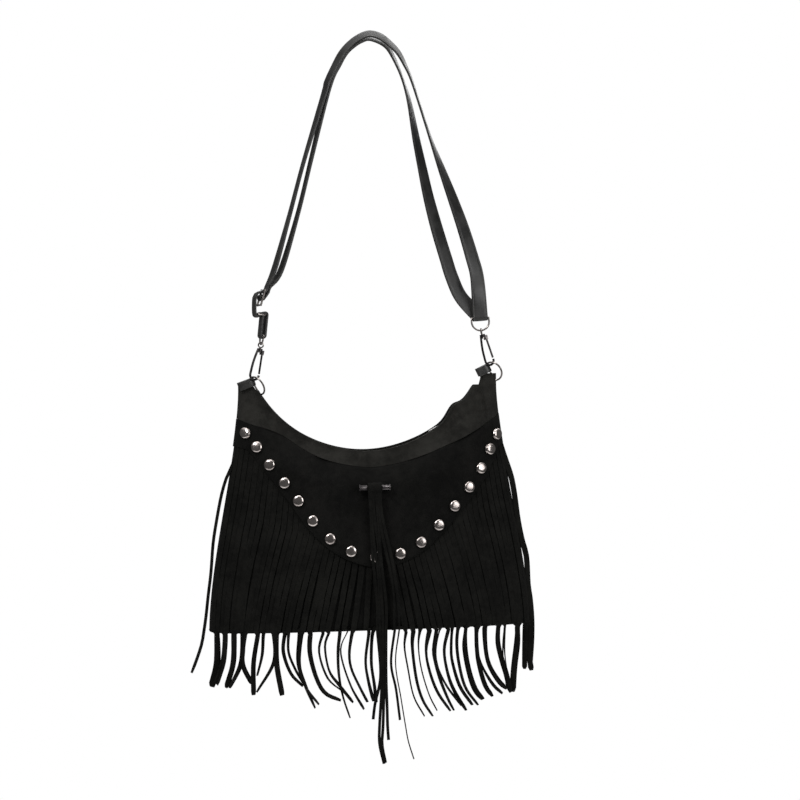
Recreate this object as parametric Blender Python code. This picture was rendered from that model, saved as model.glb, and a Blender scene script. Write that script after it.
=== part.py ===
"""Fringed suede shoulder bag, hanging from its doubled leather strap.

Metres, +Z up, the front of the bag towards -Y. The origin is the underside of
the strap at its highest point. The bag is modelled in a frame of its own, with
its origin under the middle of the base, and is then turned, tilted and lowered
to its place. The metal links are worked out upwards from the ears of the bag.
"""

import math

import bmesh
import bpy
import numpy as np

# Clearances
SEAM_GAP = 0.0003
LINK_GAP = 0.0003

# Place of the bag under the strap
BASE_DROP = 0.584
BAG_TILT_DEG = 1.4
BAG_TURN_DEG = 6.5
BAG_PITCH_DEG = 2.2
BAG_SHIFT_Y = 0.003

# Bag body
BASE_WIDTH = 0.320
TOP_WIDTH = 0.258
BODY_DEPTH = 0.082
EAR_HEIGHT = 0.238
EAR_EDGE_DEPTH = 0.0025
MOUTH_HEIGHT = 0.177
MOUTH_RADIUS = 0.1383
MOUTH_HALF_GAP = 0.017
PANEL_THICK = 0.0015
LINING_GAP = 0.0007
LINING_THICK = 0.0006
BASE_THICK = 0.002
LEFT_TONGUE_RISE = 0.004
RIGHT_TONGUE_RISE = 0.011
TONGUE_WIDTH = 0.0125

# Facing band, yoke and fringe
SEAM_HEIGHT = 0.158
SEAM_RISE = 0.0495
YOKE_THICK = 0.0012
YOKE_HEIGHT = 0.057
YOKE_RISE = 0.122
PATTERN_SHIFT = 0.005
FRINGE_STAND = 0.0007
FRINGE_THICK = 0.0010
FRINGE_STRIPS = 54
FRINGE_CUT = 0.0008
FRINGE_TUCK = 0.007
FRINGE_LENGTH = 0.088
FRINGE_SIDE_CUT = 0.033

# Dome rivets
STUD_COUNT = 17
STUD_DIAMETER = 0.011
STUD_HEIGHT = 0.0032
STUD_LINE_HEIGHT = 0.068
STUD_LINE_RISE = 0.123

# Toggle and tassel
TOGGLE_LENGTH = 0.032
TOGGLE_DIAMETER = 0.0075
TOGGLE_HEIGHT = 0.136
WRAP_WIDTH = 0.016
LACE_THICK = 0.0012
TASSEL_LACES = 5

# Zip
ZIP_DEPTH = 0.006
ZIP_HALF_SPAN = 0.088
ZIP_COIL_GAP = 0.0058
ZIP_COIL_DIAMETER = 0.0022
ZIP_TAPE_THICK = 0.0008
ZIP_SLIDER_LENGTH = 0.010
ZIP_PLATE_THICK = 0.0012
ZIP_PULL_LENGTH = 0.015

# Strap and its metal
STRAP_WIDTH = 0.015
STRAP_THICK = 0.0022
STRAP_LAYER_GAP = 0.0031
WIRE_DIAMETER = 0.0018
SLIDER_PITCH = 0.0078
STRAP_TAB_LENGTH = 0.0205
RING_INSIDE = 0.016
RIGHT_RING_DEPTH = 0.0128
EAR_TAB_LENGTH = 0.0115
EAR_TAB_WIDTH = 0.0095
EAR_TAB_THICK = 0.0016
EAR_TAB_OPENING = 0.0083
EAR_RING_LENGTH = 0.0196
EAR_RING_STRAIGHT = 0.004
EAR_RING_LEAN_DEG = 30.5

# Snap hooks
HOOK_LENGTH = 0.0304
HOOK_WIRE = 0.0024
HOOK_HALF_WIDTH = 0.0048
COLLAR_DIAMETER = 0.0056
COLLAR_HEIGHT = 0.003
POST_DIAMETER = 0.0022
EYE_HOLE = 0.0036
EYE_WIRE = 0.0014
GATE_PIN_DIAMETER = 0.0008
LUG_THICK = 0.0007

FRONT = -1
BACK = 1
YOKE_BACK = FRINGE_STAND + FRINGE_THICK + SEAM_GAP
YOKE_FACE = YOKE_BACK + YOKE_THICK
WIRE_RADIUS = WIRE_DIAMETER / 2
LOOP_RADIUS = WIRE_RADIUS + LINK_GAP + STRAP_THICK / 2


def clear_scene():
    for thing in list(bpy.data.objects):
        bpy.data.objects.remove(thing, do_unlink=True)


def material(name, colour, roughness, metallic=0.0):
    made = bpy.data.materials.new(name)
    made.use_nodes = True
    shader = made.node_tree.nodes["Principled BSDF"]
    shader.inputs["Base Color"].default_value = (*colour, 1.0)
    shader.inputs["Roughness"].default_value = roughness
    shader.inputs["Metallic"].default_value = metallic
    return made


def solid(name, points, faces, finish, smooth=True):
    """One mesh object from points and faces, with its faces turned outwards."""
    mesh = bpy.data.meshes.new(name)
    mesh.from_pydata([tuple(map(float, p)) for p in points], [], faces)
    work = bmesh.new()
    work.from_mesh(mesh)
    bmesh.ops.recalc_face_normals(work, faces=work.faces)
    work.to_mesh(mesh)
    work.free()
    mesh.materials.append(finish)
    if smooth:
        mesh.shade_smooth()
        mesh.set_sharp_from_angle(angle=math.radians(35))
    made = bpy.data.objects.new(name, mesh)
    bpy.context.collection.objects.link(made)
    return made


def boolean(target, other, operation):
    """Applies a union or a cut by another object, which is then removed."""
    step = target.modifiers.new("cut", "BOOLEAN")
    step.object = other
    step.operation = operation
    step.solver = "EXACT"
    bpy.context.view_layer.update()
    seen = target.evaluated_get(bpy.context.evaluated_depsgraph_get())
    mesh = bpy.data.meshes.new_from_object(seen)
    target.modifiers.clear()
    target.data = mesh
    bpy.data.objects.remove(other, do_unlink=True)


def loft(rings, closed=False):
    """Points and faces of a skin over rings of points, capped unless it closes on itself."""
    rings = np.asarray(rings, float)
    count, size = rings.shape[:2]
    faces = []
    for i in range(count if closed else count - 1):
        here, there = i * size, (i + 1) % count * size
        for j in range(size):
            k = (j + 1) % size
            faces.append((here + j, here + k, there + k, there + j))
    if not closed:
        faces.append(tuple(range(size)))
        faces.append(tuple((count - 1) * size + j for j in range(size)))
    return rings.reshape(-1, 3), faces


def sheet(outer, inner):
    """Points and faces of a closed sheet between two grids of the same shape."""
    outer, inner = np.asarray(outer, float), np.asarray(inner, float)
    rows, cols = outer.shape[:2]
    far = rows * cols
    faces = []
    for i in range(rows - 1):
        for j in range(cols - 1):
            a, b = i * cols + j, i * cols + j + 1
            c, d = b + cols, a + cols
            faces.append((a, b, c, d))
            faces.append((far + a, far + d, far + c, far + b))
    rim = [j for j in range(cols)]
    rim += [i * cols + cols - 1 for i in range(1, rows)]
    rim += [(rows - 1) * cols + j for j in range(cols - 2, -1, -1)]
    rim += [i * cols for i in range(rows - 2, 0, -1)]
    for a, b in zip(rim, rim[1:] + rim[:1]):
        faces.append((a, far + a, far + b, b))
    return np.vstack([outer.reshape(-1, 3), inner.reshape(-1, 3)]), faces


def unit(vector):
    vector = np.asarray(vector, float)
    return vector / np.linalg.norm(vector, axis=-1, keepdims=True)


def tangents(path, closed=False):
    """Unit directions along a path, by central differences."""
    path = np.asarray(path, float)
    if closed:
        return unit(np.roll(path, -1, 0) - np.roll(path, 1, 0))
    return unit(np.gradient(path, axis=0))


def smooth_path(points, step):
    """Rows of numbers on a Catmull-Rom curve through given rows, about a step apart.

    Rows that lie closer together than the step are kept as they are.
    """
    points = np.asarray(points, float)
    ends = np.vstack([2 * points[0] - points[1], points, 2 * points[-1] - points[-2]])
    found = []
    for n in range(len(points) - 1):
        a, b, c, d = ends[n:n + 4]
        cuts = max(1, round(np.linalg.norm((c - b)[:3]) / step))
        for t in np.arange(cuts) / cuts:
            found.append(0.5 * (2 * b + (c - a) * t + (2 * a - 5 * b + 4 * c - d) * t**2
                                + (3 * b - a - 3 * c + d) * t**3))
    return np.vstack([found, points[-1:]])


def ribbon(path, across, width, thick, closed=False):
    """A flat band along a path, its width along the given directions, with eased corners."""
    path = np.asarray(path, float)
    along = tangents(path, closed)
    across = np.broadcast_to(across, path.shape)
    across = unit(across - along * np.sum(across * along, axis=1, keepdims=True))
    normal = np.cross(along, across)
    half, low, ease = width / 2, thick / 2, thick * 0.28
    outline = [
        (-half, -low + ease), (-half + ease, -low), (half - ease, -low), (half, -low + ease),
        (half, low - ease), (half - ease, low), (-half + ease, low), (-half, low - ease),
    ]
    rings = [path + u * across + v * normal for u, v in outline]
    return loft(np.stack(rings, axis=1), closed)


def wire(path, radius, closed=False, sides=6):
    """A round wire along a path."""
    path = np.asarray(path, float)
    along = tangents(path, closed)
    side = np.empty_like(path)
    guess = np.array([0.31, 0.83, 0.45])
    for i, direction in enumerate(along):
        guess = unit(guess - direction * (guess @ direction))
        side[i] = guess
    other = np.cross(along, side)
    turn = np.arange(sides) * 2 * math.pi / sides
    rings = [path + radius * (math.cos(t) * side + math.sin(t) * other) for t in turn]
    rings = np.stack(rings, axis=1)
    if not closed:
        return loft(rings)
    points, faces = loft(rings)
    faces = faces[:-2]
    size, last = sides, (len(path) - 1) * sides
    offset = np.argmin(np.linalg.norm(rings[0] - rings[-1][0], axis=1))
    for j in range(size):
        k = (j + 1) % size
        faces.append((last + j, last + k, (k + offset) % size, (j + offset) % size))
    return points, faces


def rod(start, end, radius, sides=12):
    return wire([start, (np.asarray(start) + np.asarray(end)) / 2, end], radius, sides=sides)


def tube(centre, axis, inner, outer, length, sides=16):
    """A straight tube about an axis, as a closed ring of four-cornered sections."""
    axis = unit(axis)
    side = unit(np.cross(axis, [0.31, 0.83, 0.45]))
    other = np.cross(axis, side)
    rings = []
    for t in np.arange(sides) * 2 * math.pi / sides:
        out = math.cos(t) * side + math.sin(t) * other
        corners = [(inner, -1), (outer, -1), (outer, 1), (inner, 1)]
        rings.append([centre + r * out + end * length / 2 * axis for r, end in corners])
    return loft(rings, closed=True)


def block(centre, axes, sizes):
    """A box with its own three axes."""
    centre = np.asarray(centre, float)
    u, v, w = (unit(a) * s / 2 for a, s in zip(axes, sizes))
    ring = [u + v, v - u, -u - v, u - v]
    return loft([[centre - w + r for r in ring], [centre + w + r for r in ring]])


# The bag's own frame: x to the right, y to the back, z up from under the base


def to_world(points):
    """Turns, tilts and lowers points of the bag to their place under the strap."""
    points = np.asarray(points, float)
    turn, tilt = math.radians(BAG_TURN_DEG), math.radians(BAG_TILT_DEG)
    pitch = math.radians(BAG_PITCH_DEG)
    x, y, z = points[..., 0], points[..., 1], points[..., 2] - EAR_HEIGHT
    y, z = y * math.cos(pitch) - z * math.sin(pitch), y * math.sin(pitch) + z * math.cos(pitch)
    z = z + EAR_HEIGHT
    x, y = x * math.cos(turn) - y * math.sin(turn), x * math.sin(turn) + y * math.cos(turn)
    x, z = x * math.cos(tilt) - z * math.sin(tilt), x * math.sin(tilt) + z * math.cos(tilt)
    return np.stack([x, y + BAG_SHIFT_Y, z - BASE_DROP], axis=-1)


def ease(t):
    t = np.clip(t, 0, 1)
    return t * t * (3 - 2 * t)


def half_width(z):
    """Half the body's width at a height: it narrows from the base to the ears."""
    share = np.clip(z / EAR_HEIGHT, 0, 1.1) ** 1.25
    return BASE_WIDTH / 2 - (BASE_WIDTH - TOP_WIDTH) / 2 * share


def mouth_z(x):
    """Height of the circular mouth edge above a place across the bag."""
    reach = np.minimum(np.abs(x), MOUTH_RADIUS * 0.98)
    return MOUTH_HEIGHT + MOUTH_RADIUS - np.sqrt(MOUTH_RADIUS**2 - reach**2)


def top_z(x):
    """Height of the body's top edge: the mouth's arc, then the tongue of each ear."""
    tongue = TOP_WIDTH / 2 - TONGUE_WIDTH
    rise = np.where(x < 0, LEFT_TONGUE_RISE, RIGHT_TONGUE_RISE)
    share = ease((np.abs(x) - tongue + 0.003) / 0.003)
    arc = np.minimum(mouth_z(x), EAR_HEIGHT)
    return arc + (EAR_HEIGHT + rise - arc) * share


def seam_z(x):
    """Height of the seam under the facing band."""
    return SEAM_HEIGHT + SEAM_RISE * (np.abs(x) / (TOP_WIDTH / 2)) ** 1.8


def yoke_z(x):
    """Height of the yoke's lower edge."""
    share = np.abs(x - PATTERN_SHIFT) / (TOP_WIDTH / 2)
    return YOKE_HEIGHT + YOKE_RISE * share**2.15 - 0.03 * (x - PATTERN_SHIFT)


def section(theta, z, z_top):
    """Half width, half depth and roundness exponent of the body at a height of one column."""
    v = np.clip(z / z_top, 0, 1)
    side = BODY_DEPTH / 2 * (1 - 0.15 * v**2)
    across = np.cos(theta) ** 2
    mouth = EAR_EDGE_DEPTH + (MOUTH_HALF_GAP - EAR_EDGE_DEPTH) * (1 - across) ** 1.4
    blend = ease((v - 0.78) / 0.22)
    power = 2.0 / (2.0 + 0.8 * (1 - np.clip(v / 0.5, 0, 1)))
    return half_width(np.maximum(z, 0)), side * (1 - blend) + mouth * blend, power


def body(theta, z, side, out=0.0, out_x=None):
    """A point of the body's front or back at a column angle and a height, set out from the skin."""
    theta, z = np.broadcast_arrays(np.asarray(theta, float), np.asarray(z, float))
    column = TOP_WIDTH / 2 * np.cos(theta)
    width, depth, power = section(theta, z, top_z(column))
    out_x = out if out_x is None else out_x
    cosine, sine = np.cos(theta), np.maximum(np.sin(theta), 0)
    x = (width + out_x) * np.sign(cosine) * np.abs(cosine) ** power
    y = side * (SEAM_GAP / 2 + (depth + out) * sine**power)
    return np.stack([x, y, z], axis=-1)


def column_top(theta):
    return top_z(TOP_WIDTH / 2 * np.cos(theta))


def column_seam(theta):
    return seam_z(TOP_WIDTH / 2 * np.cos(theta))


def angle_at(x, z):
    """The column angle at which the body's front is at x, at a height."""
    power = section(np.pi / 2, z, MOUTH_HEIGHT)[2]
    share = np.clip(np.abs(x) / half_width(z), 0, 1) ** (1 / power)
    return np.arccos(np.sign(x) * share)


def yoke_angle_z(theta):
    """Height of the yoke's edge on a column, found by repeated substitution."""
    z = np.full(np.shape(theta), YOKE_HEIGHT)
    for _ in range(12):
        z = 0.5 * z + 0.5 * yoke_z(body(theta, z, FRONT)[..., 0])
    return z


COLUMNS = 29
PANEL_ROWS = 9
THETA = np.linspace(math.pi, 0, COLUMNS)


def body_sheet(name, low, high, rows, side, out, inwards, finish, out_x=0.0):
    """A shell of the body between two heights, from out of the skin to inside it."""
    share = np.linspace(0, 1, rows)[:, None]
    z = low + (high - low) * share
    theta = np.broadcast_to(THETA, z.shape)
    outer = body(theta, z, side, out, out_x)
    inner = body(theta, z, side, -inwards, -inwards)
    points, faces = sheet(outer, inner)
    return solid(name, to_world(points), faces, finish)


def body_panels(suede):
    low = np.full(COLUMNS, SEAM_GAP)
    seam = column_seam(THETA)
    for side, name in ((FRONT, "front_panel"), (BACK, "back_panel")):
        body_sheet(name, low, seam - SEAM_GAP, PANEL_ROWS, side, 0.0, PANEL_THICK, suede)
    proud = YOKE_BACK + YOKE_THICK
    top = column_top(THETA)
    body_sheet("front_facing", seam, top, 5, FRONT, proud, PANEL_THICK, suede)
    body_sheet("back_facing", seam, top, 5, BACK, YOKE_THICK, PANEL_THICK, suede)


def base_panel(suede):
    theta = np.linspace(0, 2 * math.pi, 48, endpoint=False)
    power = section(0.0, 0.0, 1.0)[2]
    cosine, sine = np.cos(theta), np.sin(theta)
    x = BASE_WIDTH / 2 * np.sign(cosine) * np.abs(cosine) ** power
    y = BODY_DEPTH / 2 * np.sign(sine) * np.abs(sine) ** power
    rings = [np.stack([x, y, np.full_like(x, z)], axis=1) for z in (-BASE_THICK, 0.0)]
    points, faces = loft(rings)
    solid("base_panel", to_world(points), faces, suede, smooth=False)


def lining(cloth):
    """The pouch inside: a thin open bag that stands just clear of the panels."""
    count, rows = 2 * (COLUMNS - 1), PANEL_ROWS
    outside, wall = PANEL_THICK + LINING_GAP, LINING_THICK
    theta = np.linspace(0, 2 * math.pi, count, endpoint=False)
    fold = np.where(theta <= math.pi, theta, 2 * math.pi - theta)
    side = np.where(theta <= math.pi, FRONT, BACK)
    top = column_seam(fold) - SEAM_GAP

    def skin(inset, floor):
        z = floor + (top - floor) * np.linspace(0, 1, rows)[:, None]
        angle = np.broadcast_to(fold, z.shape)
        return body(angle, z, np.broadcast_to(side, z.shape), -inset)

    outer, inner = skin(outside, SEAM_GAP), skin(outside + wall, SEAM_GAP + wall)
    points = np.vstack([outer.reshape(-1, 3), inner.reshape(-1, 3)])
    far, faces = rows * count, []
    for i in range(rows - 1):
        for j in range(count):
            k = (j + 1) % count
            ring = [i * count + j, i * count + k, (i + 1) * count + k, (i + 1) * count + j]
            if j < COLUMNS - 1:
                ring = ring[1:] + ring[:1]
            faces.append(tuple(ring))
            faces.append(tuple(far + n for n in [ring[0], *ring[:0:-1]]))
    for j in range(count):
        k, rim = (j + 1) % count, (rows - 1) * count
        faces.append((rim + j, rim + k, far + rim + k, far + rim + j))
    faces.append(tuple(range(count)))
    faces.append(tuple(far + j for j in range(count - 1, -1, -1)))
    solid("lining", to_world(points), faces, cloth)


def yoke(suede):
    back = YOKE_BACK
    share = np.linspace(0, 1, 7)[:, None]
    low, high = yoke_angle_z(THETA), column_seam(THETA) - SEAM_GAP
    z = low + (high - low) * share
    theta = np.broadcast_to(THETA, z.shape)
    outer = body(theta, z, FRONT, back + YOKE_THICK)
    inner = body(theta, z, FRONT, back)
    points, faces = sheet(outer, inner)
    solid("front_yoke", to_world(points), faces, suede)


def comb(root, strips, finish, name):
    """One sheet cut into strips: a band of two rows, then each strip's own rows.

    root holds the band's points by row, cut edge and face, and each strip holds
    its points by row, edge and face. Faces are outer, then inner.
    """
    points, faces = [], []

    def put(spot):
        points.append(spot)
        return len(points) - 1

    band = [[[put(root[r][e][f]) for f in (0, 1)] for e in range(len(root[0]))] for r in (0, 1)]
    for e in range(len(root[0]) - 1):
        top, low = band[0], band[1]
        faces.append((top[e][0], top[e + 1][0], low[e + 1][0], low[e][0]))
        faces.append((top[e][1], low[e][1], low[e + 1][1], top[e + 1][1]))
        faces.append((top[e][0], top[e][1], top[e + 1][1], top[e + 1][0]))
        if e % 2:
            faces.append((low[e][0], low[e + 1][0], low[e + 1][1], low[e][1]))
    for e in (0, len(root[0]) - 1):
        faces.append((band[0][e][0], band[0][e][1], band[1][e][1], band[1][e][0]))
    for n, rows in enumerate(strips):
        last = [band[1][2 * n], band[1][2 * n + 1]]
        for row in rows:
            here = [[put(row[e][f]) for f in (0, 1)] for e in (0, 1)]
            faces.append((last[0][0], last[1][0], here[1][0], here[0][0]))
            faces.append((last[0][1], here[0][1], here[1][1], last[1][1]))
            faces.append((last[0][0], here[0][0], here[0][1], last[0][1]))
            faces.append((last[1][0], last[1][1], here[1][1], here[1][0]))
            last = here
        faces.append((last[0][0], last[1][0], last[1][1], last[0][1]))
    return solid(name, to_world(points), faces, finish, smooth=False)


def fringe_edges():
    """Column angles of the cuts, evenly spaced along the body at half its height."""
    angle = np.linspace(math.pi * 0.985, math.pi * 0.015, 400)
    line = body(angle, np.full(400, EAR_HEIGHT * 0.35), FRONT)
    run = np.concatenate([[0], np.cumsum(np.linalg.norm(np.diff(line, axis=0), axis=1))])
    pitch = run[-1] / FRINGE_STRIPS
    marks = []
    for n in range(FRINGE_STRIPS):
        marks += [n * pitch + FRINGE_CUT / 2, (n + 1) * pitch - FRINGE_CUT / 2]
    return np.interp(marks, run, angle)


def fringe_tip(x):
    """Height of a strip's tip, below the base: the middle strips hang lowest."""
    share = (x - 0.02) / (BASE_WIDTH / 2)
    return -FRINGE_LENGTH + FRINGE_SIDE_CUT * share**2


def fringe(suede):
    edges = fringe_edges()
    edge_z = yoke_angle_z(edges)
    faces_out = (FRINGE_STAND + FRINGE_THICK, FRINGE_STAND)
    root = []
    tuck_z = np.minimum(edge_z + FRINGE_TUCK, column_seam(edges) - 2 * SEAM_GAP)
    for z in (tuck_z, edge_z - 0.001):
        root.append(np.stack([body(edges, z, FRONT, out) for out in faces_out], axis=1))
    strips = []
    for n in range(FRINGE_STRIPS):
        pair = edges[2 * n:2 * n + 2]
        start = edge_z[2 * n:2 * n + 2] - 0.001
        middle = body(pair.mean(), 0.0, FRONT)
        tip = fringe_tip(middle[0]) + 0.004 * math.sin(n * 2.4)
        bow = 0.004 * math.sin(n * 1.7 + 0.6) + 0.010 * middle[0] / BASE_WIDTH
        rows = []
        for share in (0.25, 0.5, 0.75, 1.0):
            z = start * (1 - share)
            spots = [body(pair, z, FRONT, out) for out in faces_out]
            rows.append(np.stack(spots, axis=1))
        foot = rows[-1]
        for share in (0.3, 0.65, 1.0):
            narrow = 1 - 0.45 * share
            centre = foot.mean(axis=0, keepdims=True)
            spots = centre + (foot - centre) * narrow
            spots = spots + [bow * math.sin(share * 1.9), 0.0, tip * share]
            rows.append(spots)
        strips.append(rows)
    comb(root, strips, suede, "fringe")


def surface_frame(x, z, out):
    """A place on the front of the bag, with its outward, sideways and upward directions."""
    step = 0.001
    theta = angle_at(x, z)
    here = body(theta, z, FRONT, out)
    along = body(angle_at(x + step, z), z, FRONT, out) - here
    theta_up = angle_at(x, z + step)
    up = unit(body(theta_up, z + step, FRONT, out) - here)
    normal = unit(np.cross(unit(along), up))
    return here, normal, unit(along), up


def studs(metal):
    reach = np.linspace(-1, 1, 401)
    x = PATTERN_SHIFT + 0.1275 * reach
    z = STUD_LINE_HEIGHT + STUD_LINE_RISE * np.abs(reach) ** 1.85 - 0.03 * (x - PATTERN_SHIFT)
    run = np.concatenate([[0], np.cumsum(np.hypot(np.diff(x), np.diff(z)))])
    marks = np.linspace(0, run[-1], STUD_COUNT)
    seat = YOKE_FACE + SEAM_GAP
    radius, sides = STUD_DIAMETER / 2, 12
    profile = [(1.0, 0.0), (1.0, 0.22), (0.82, 0.62), (0.5, 0.9)]
    turn = np.arange(sides) * 2 * math.pi / sides
    for n, mark in enumerate(marks):
        here, normal, along, up = surface_frame(
            np.interp(mark, run, x), np.interp(mark, run, z), seat
        )
        rings = []
        for share, height in profile:
            ring = [
                here + radius * share * (math.cos(t) * along + math.sin(t) * up)
                + normal * (height * STUD_HEIGHT + STUD_SEAT)
                for t in turn
            ]
            rings.append(ring)
        points, faces = loft(rings)
        faces = faces[:-1]
        points = np.vstack([points, here + normal * (STUD_HEIGHT + STUD_SEAT)])
        top = (len(profile) - 1) * sides
        faces += [(top + j, top + (j + 1) % sides, len(points) - 1) for j in range(sides)]
        solid(f"stud_{n + 1:02d}", to_world(points), faces, metal)


# A flat stud on the round side of the bag stands off by the depth of the curve under it
STUD_SEAT = 0.0006


def toggle(metal, lace):
    x, z = 0.0035, TOGGLE_HEIGHT
    seat = YOKE_FACE + SEAM_GAP + LACE_THICK
    radius = TOGGLE_DIAMETER / 2
    here, normal, along, up = surface_frame(x, z, seat)
    centre = here + normal * (radius + SEAM_GAP)
    half = TOGGLE_LENGTH / 2
    steps = [(-1.0, 0.8), (-0.95, 1.0), (0.95, 1.0), (1.0, 0.8)]
    turn = np.arange(16) * 2 * math.pi / 16
    rings = [
        [centre + s * half * along + r * radius * (math.cos(t) * normal + math.sin(t) * up)
         for t in turn]
        for s, r in steps
    ]
    points, faces = loft(rings)
    solid("toggle_bar", to_world(points), faces, metal)
    inner = radius + SEAM_GAP
    points, faces = tube(centre, along, inner, inner + LACE_THICK, WRAP_WIDTH)
    solid("lace_wrap", to_world(points), faces, lace)
    tassel(centre, inner + LACE_THICK, lace)


def tassel(centre, wrap_radius, lace):
    """The laces that hang from the toggle, joined under it and each with its own length."""
    top = centre[2] - wrap_radius - SEAM_GAP
    pitch = WRAP_WIDTH / TASSEL_LACES
    cut = 0.0006
    clear = YOKE_FACE + 2 * SEAM_GAP + STUD_SEAT + STUD_HEIGHT
    tips = np.array([-0.092, -0.113, -0.136, -0.119, -0.133])
    drift = np.array([-0.006, -0.001, 0.004, 0.011, 0.021])

    def spots(x, z):
        wide = np.maximum(z, 0.0)
        theta = angle_at(x, wide)
        front = body(theta, wide, FRONT, clear + LACE_THICK)[..., 1]
        outer = np.stack([x, front, z], axis=-1)
        inner = outer + [0.0, LACE_THICK, 0.0]
        return np.stack([outer, inner], axis=-2)

    marks = []
    for n in range(TASSEL_LACES):
        marks += [n * pitch + cut / 2, (n + 1) * pitch - cut / 2]
    marks = np.array(marks) - WRAP_WIDTH / 2
    root = [spots(centre[0] + marks, np.full(len(marks), z)) for z in (top, top - 0.006)]
    strips = []
    for n in range(TASSEL_LACES):
        pair = marks[2 * n:2 * n + 2]
        rows = []
        for share in (0.35, 0.7, 1.0):
            z = (top - 0.006) * (1 - share)
            rows.append(spots(centre[0] + pair * (1 - 0.25 * share), np.full(2, z)))
        foot = rows[-1]
        for share in (0.25, 0.5, 0.75, 1.0):
            swing = drift[n] * ease(share)
            rows.append(foot + [swing, 0.0, tips[n] * share])
        strips.append(rows)
    comb(root, strips, lace, "tassel")


# Zip along the mouth: every piece follows a circle about the mouth's own centre

ZIP_CENTRE_Z = MOUTH_HEIGHT + MOUTH_RADIUS
ZIP_RADIUS = MOUTH_RADIUS + ZIP_DEPTH


def zip_point(angle, y, depth=0.0):
    """A point on the zip's circle: the angle is from straight down, positive to the right."""
    radius = ZIP_RADIUS + depth
    x = radius * np.sin(angle)
    return np.stack([x, y + 0 * x, ZIP_CENTRE_Z - radius * np.cos(angle)], axis=-1)


def zip_tapes(cloth, teeth):
    reach = math.asin(ZIP_HALF_SPAN / ZIP_RADIUS)
    angle = np.linspace(-reach, reach, 33)
    coil_y = ZIP_COIL_GAP / 2 + ZIP_COIL_DIAMETER / 2
    inner_y = coil_y + ZIP_COIL_DIAMETER / 2 + SEAM_GAP
    line = zip_point(angle, 0.0)
    theta = angle_at(line[:, 0], line[:, 2])
    wall = np.abs(body(theta, line[:, 2], FRONT, -PANEL_THICK)[:, 1]) - SEAM_GAP
    for side, name in ((FRONT, "front"), (BACK, "back")):
        path = zip_point(angle, side * coil_y)
        points, faces = wire(path, ZIP_COIL_DIAMETER / 2)
        solid(f"zip_coil_{name}", to_world(points), faces, teeth)
        half = ZIP_TAPE_THICK / 2
        grids = []
        for depth in (-half, half):
            near = zip_point(angle, side * inner_y, depth)
            far = zip_point(angle, side * wall, depth)
            grids.append(np.stack([near, far]))
        points, faces = sheet(*grids)
        solid(f"zip_tape_{name}", to_world(points), faces, cloth)


ZIP_REST = math.radians(34.0)
ZIP_PLATE_LIFT = ZIP_COIL_DIAMETER / 2 + 0.0005 + ZIP_PLATE_THICK / 2
PULL_BAR_LIFT = ZIP_PLATE_LIFT + ZIP_PLATE_THICK / 2 + 0.0016


def zip_slider(metal):
    """Two plates joined by a post between the coils, with a bar on top that carries the pull."""
    out = zip_point(ZIP_REST, 0.0)
    radial = unit([math.sin(ZIP_REST), 0.0, -math.cos(ZIP_REST)])
    along = np.array([math.cos(ZIP_REST), 0.0, math.sin(ZIP_REST)])
    across = np.array([0.0, 1.0, 0.0])
    axes = (along, across, radial)
    lift = ZIP_PLATE_LIFT
    width = ZIP_COIL_GAP + 2 * ZIP_COIL_DIAMETER
    plate = (ZIP_SLIDER_LENGTH, width, ZIP_PLATE_THICK)
    made = solid("zip_slider", *block(to_world(out - radial * lift), turned(axes), plate), metal, False)
    under = solid("under", *block(to_world(out + radial * lift), turned(axes), plate), metal, False)
    boolean(made, under, "UNION")
    post = (0.003, ZIP_COIL_GAP * 0.5, 2 * lift)
    boolean(made, solid("post", *block(to_world(out), turned(axes), post), metal, False), "UNION")
    for sign in (-1, 1):
        foot = out - radial * (lift + 0.0012) + across * sign * 0.0030
        ear = (0.0018, 0.0012, 0.0036)
        boolean(made, solid("ear", *block(to_world(foot - radial * 0.0002), turned(axes), ear),
                            metal, False), "UNION")
    bar = out - radial * PULL_BAR_LIFT
    boolean(made, solid("bar", *rod(to_world(bar - across * 0.0033), to_world(bar + across * 0.0033),
                                    0.0006, 10), metal, False), "UNION")
    barrel = tube(to_world(bar), turned([across])[0], 0.0009, 0.0015, 0.0040, 12)
    pull = solid("zip_pull", *barrel, metal)
    lean = math.radians(6.0)
    leaf_way = -along * math.cos(lean) - radial * math.sin(lean)
    leaf_up = unit(np.cross(leaf_way, across))
    centre = bar + leaf_way * (ZIP_PULL_LENGTH / 2 + 0.0011)
    leaf = block(to_world(centre), turned((leaf_way, across, leaf_up)), (ZIP_PULL_LENGTH, 0.0040, 0.0010))
    boolean(pull, solid("leaf", *leaf, metal, False), "UNION")


def turned(directions):
    """Directions of the bag's frame as world directions."""
    zero = to_world([0.0, 0.0, 0.0])
    return [to_world(d) - zero for d in directions]


# Ears, rings and hooks, worked out upwards from the bag

LEAN = math.radians(EAR_RING_LEAN_DEG)
BAR_DOWN = np.array([math.sin(LEAN), 0.0, -math.cos(LEAN)])
LEGS_WAY = np.array([-math.cos(LEAN), 0.0, -math.sin(LEAN)])
SIDES = {
    "left": {
        "ring_top": (-0.1142, 0.2494), "ring_turn": -58.0, "link": 20.0,
        "hook_lean": -12.0, "hook_turn": 30.0, "gate_side": 1,
    },
    "right": {
        "ring_top": (0.1229, 0.2580), "ring_turn": -45.0, "link": 14.0,
        "hook_lean": 15.7, "hook_turn": 28.0, "gate_side": 1,
    },
}


def ear_place(side):
    """Middle of an ear ring's bar, in the bag's frame, which follows the ear's corner."""
    x, z = SIDES[side]["ring_top"]
    edge = math.copysign(TOP_WIDTH / 2 - 0.129, x)
    top = np.array([x + edge, 0.0, z + EAR_HEIGHT - 0.238])
    return top + BAR_DOWN * EAR_RING_LENGTH / 2


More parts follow.
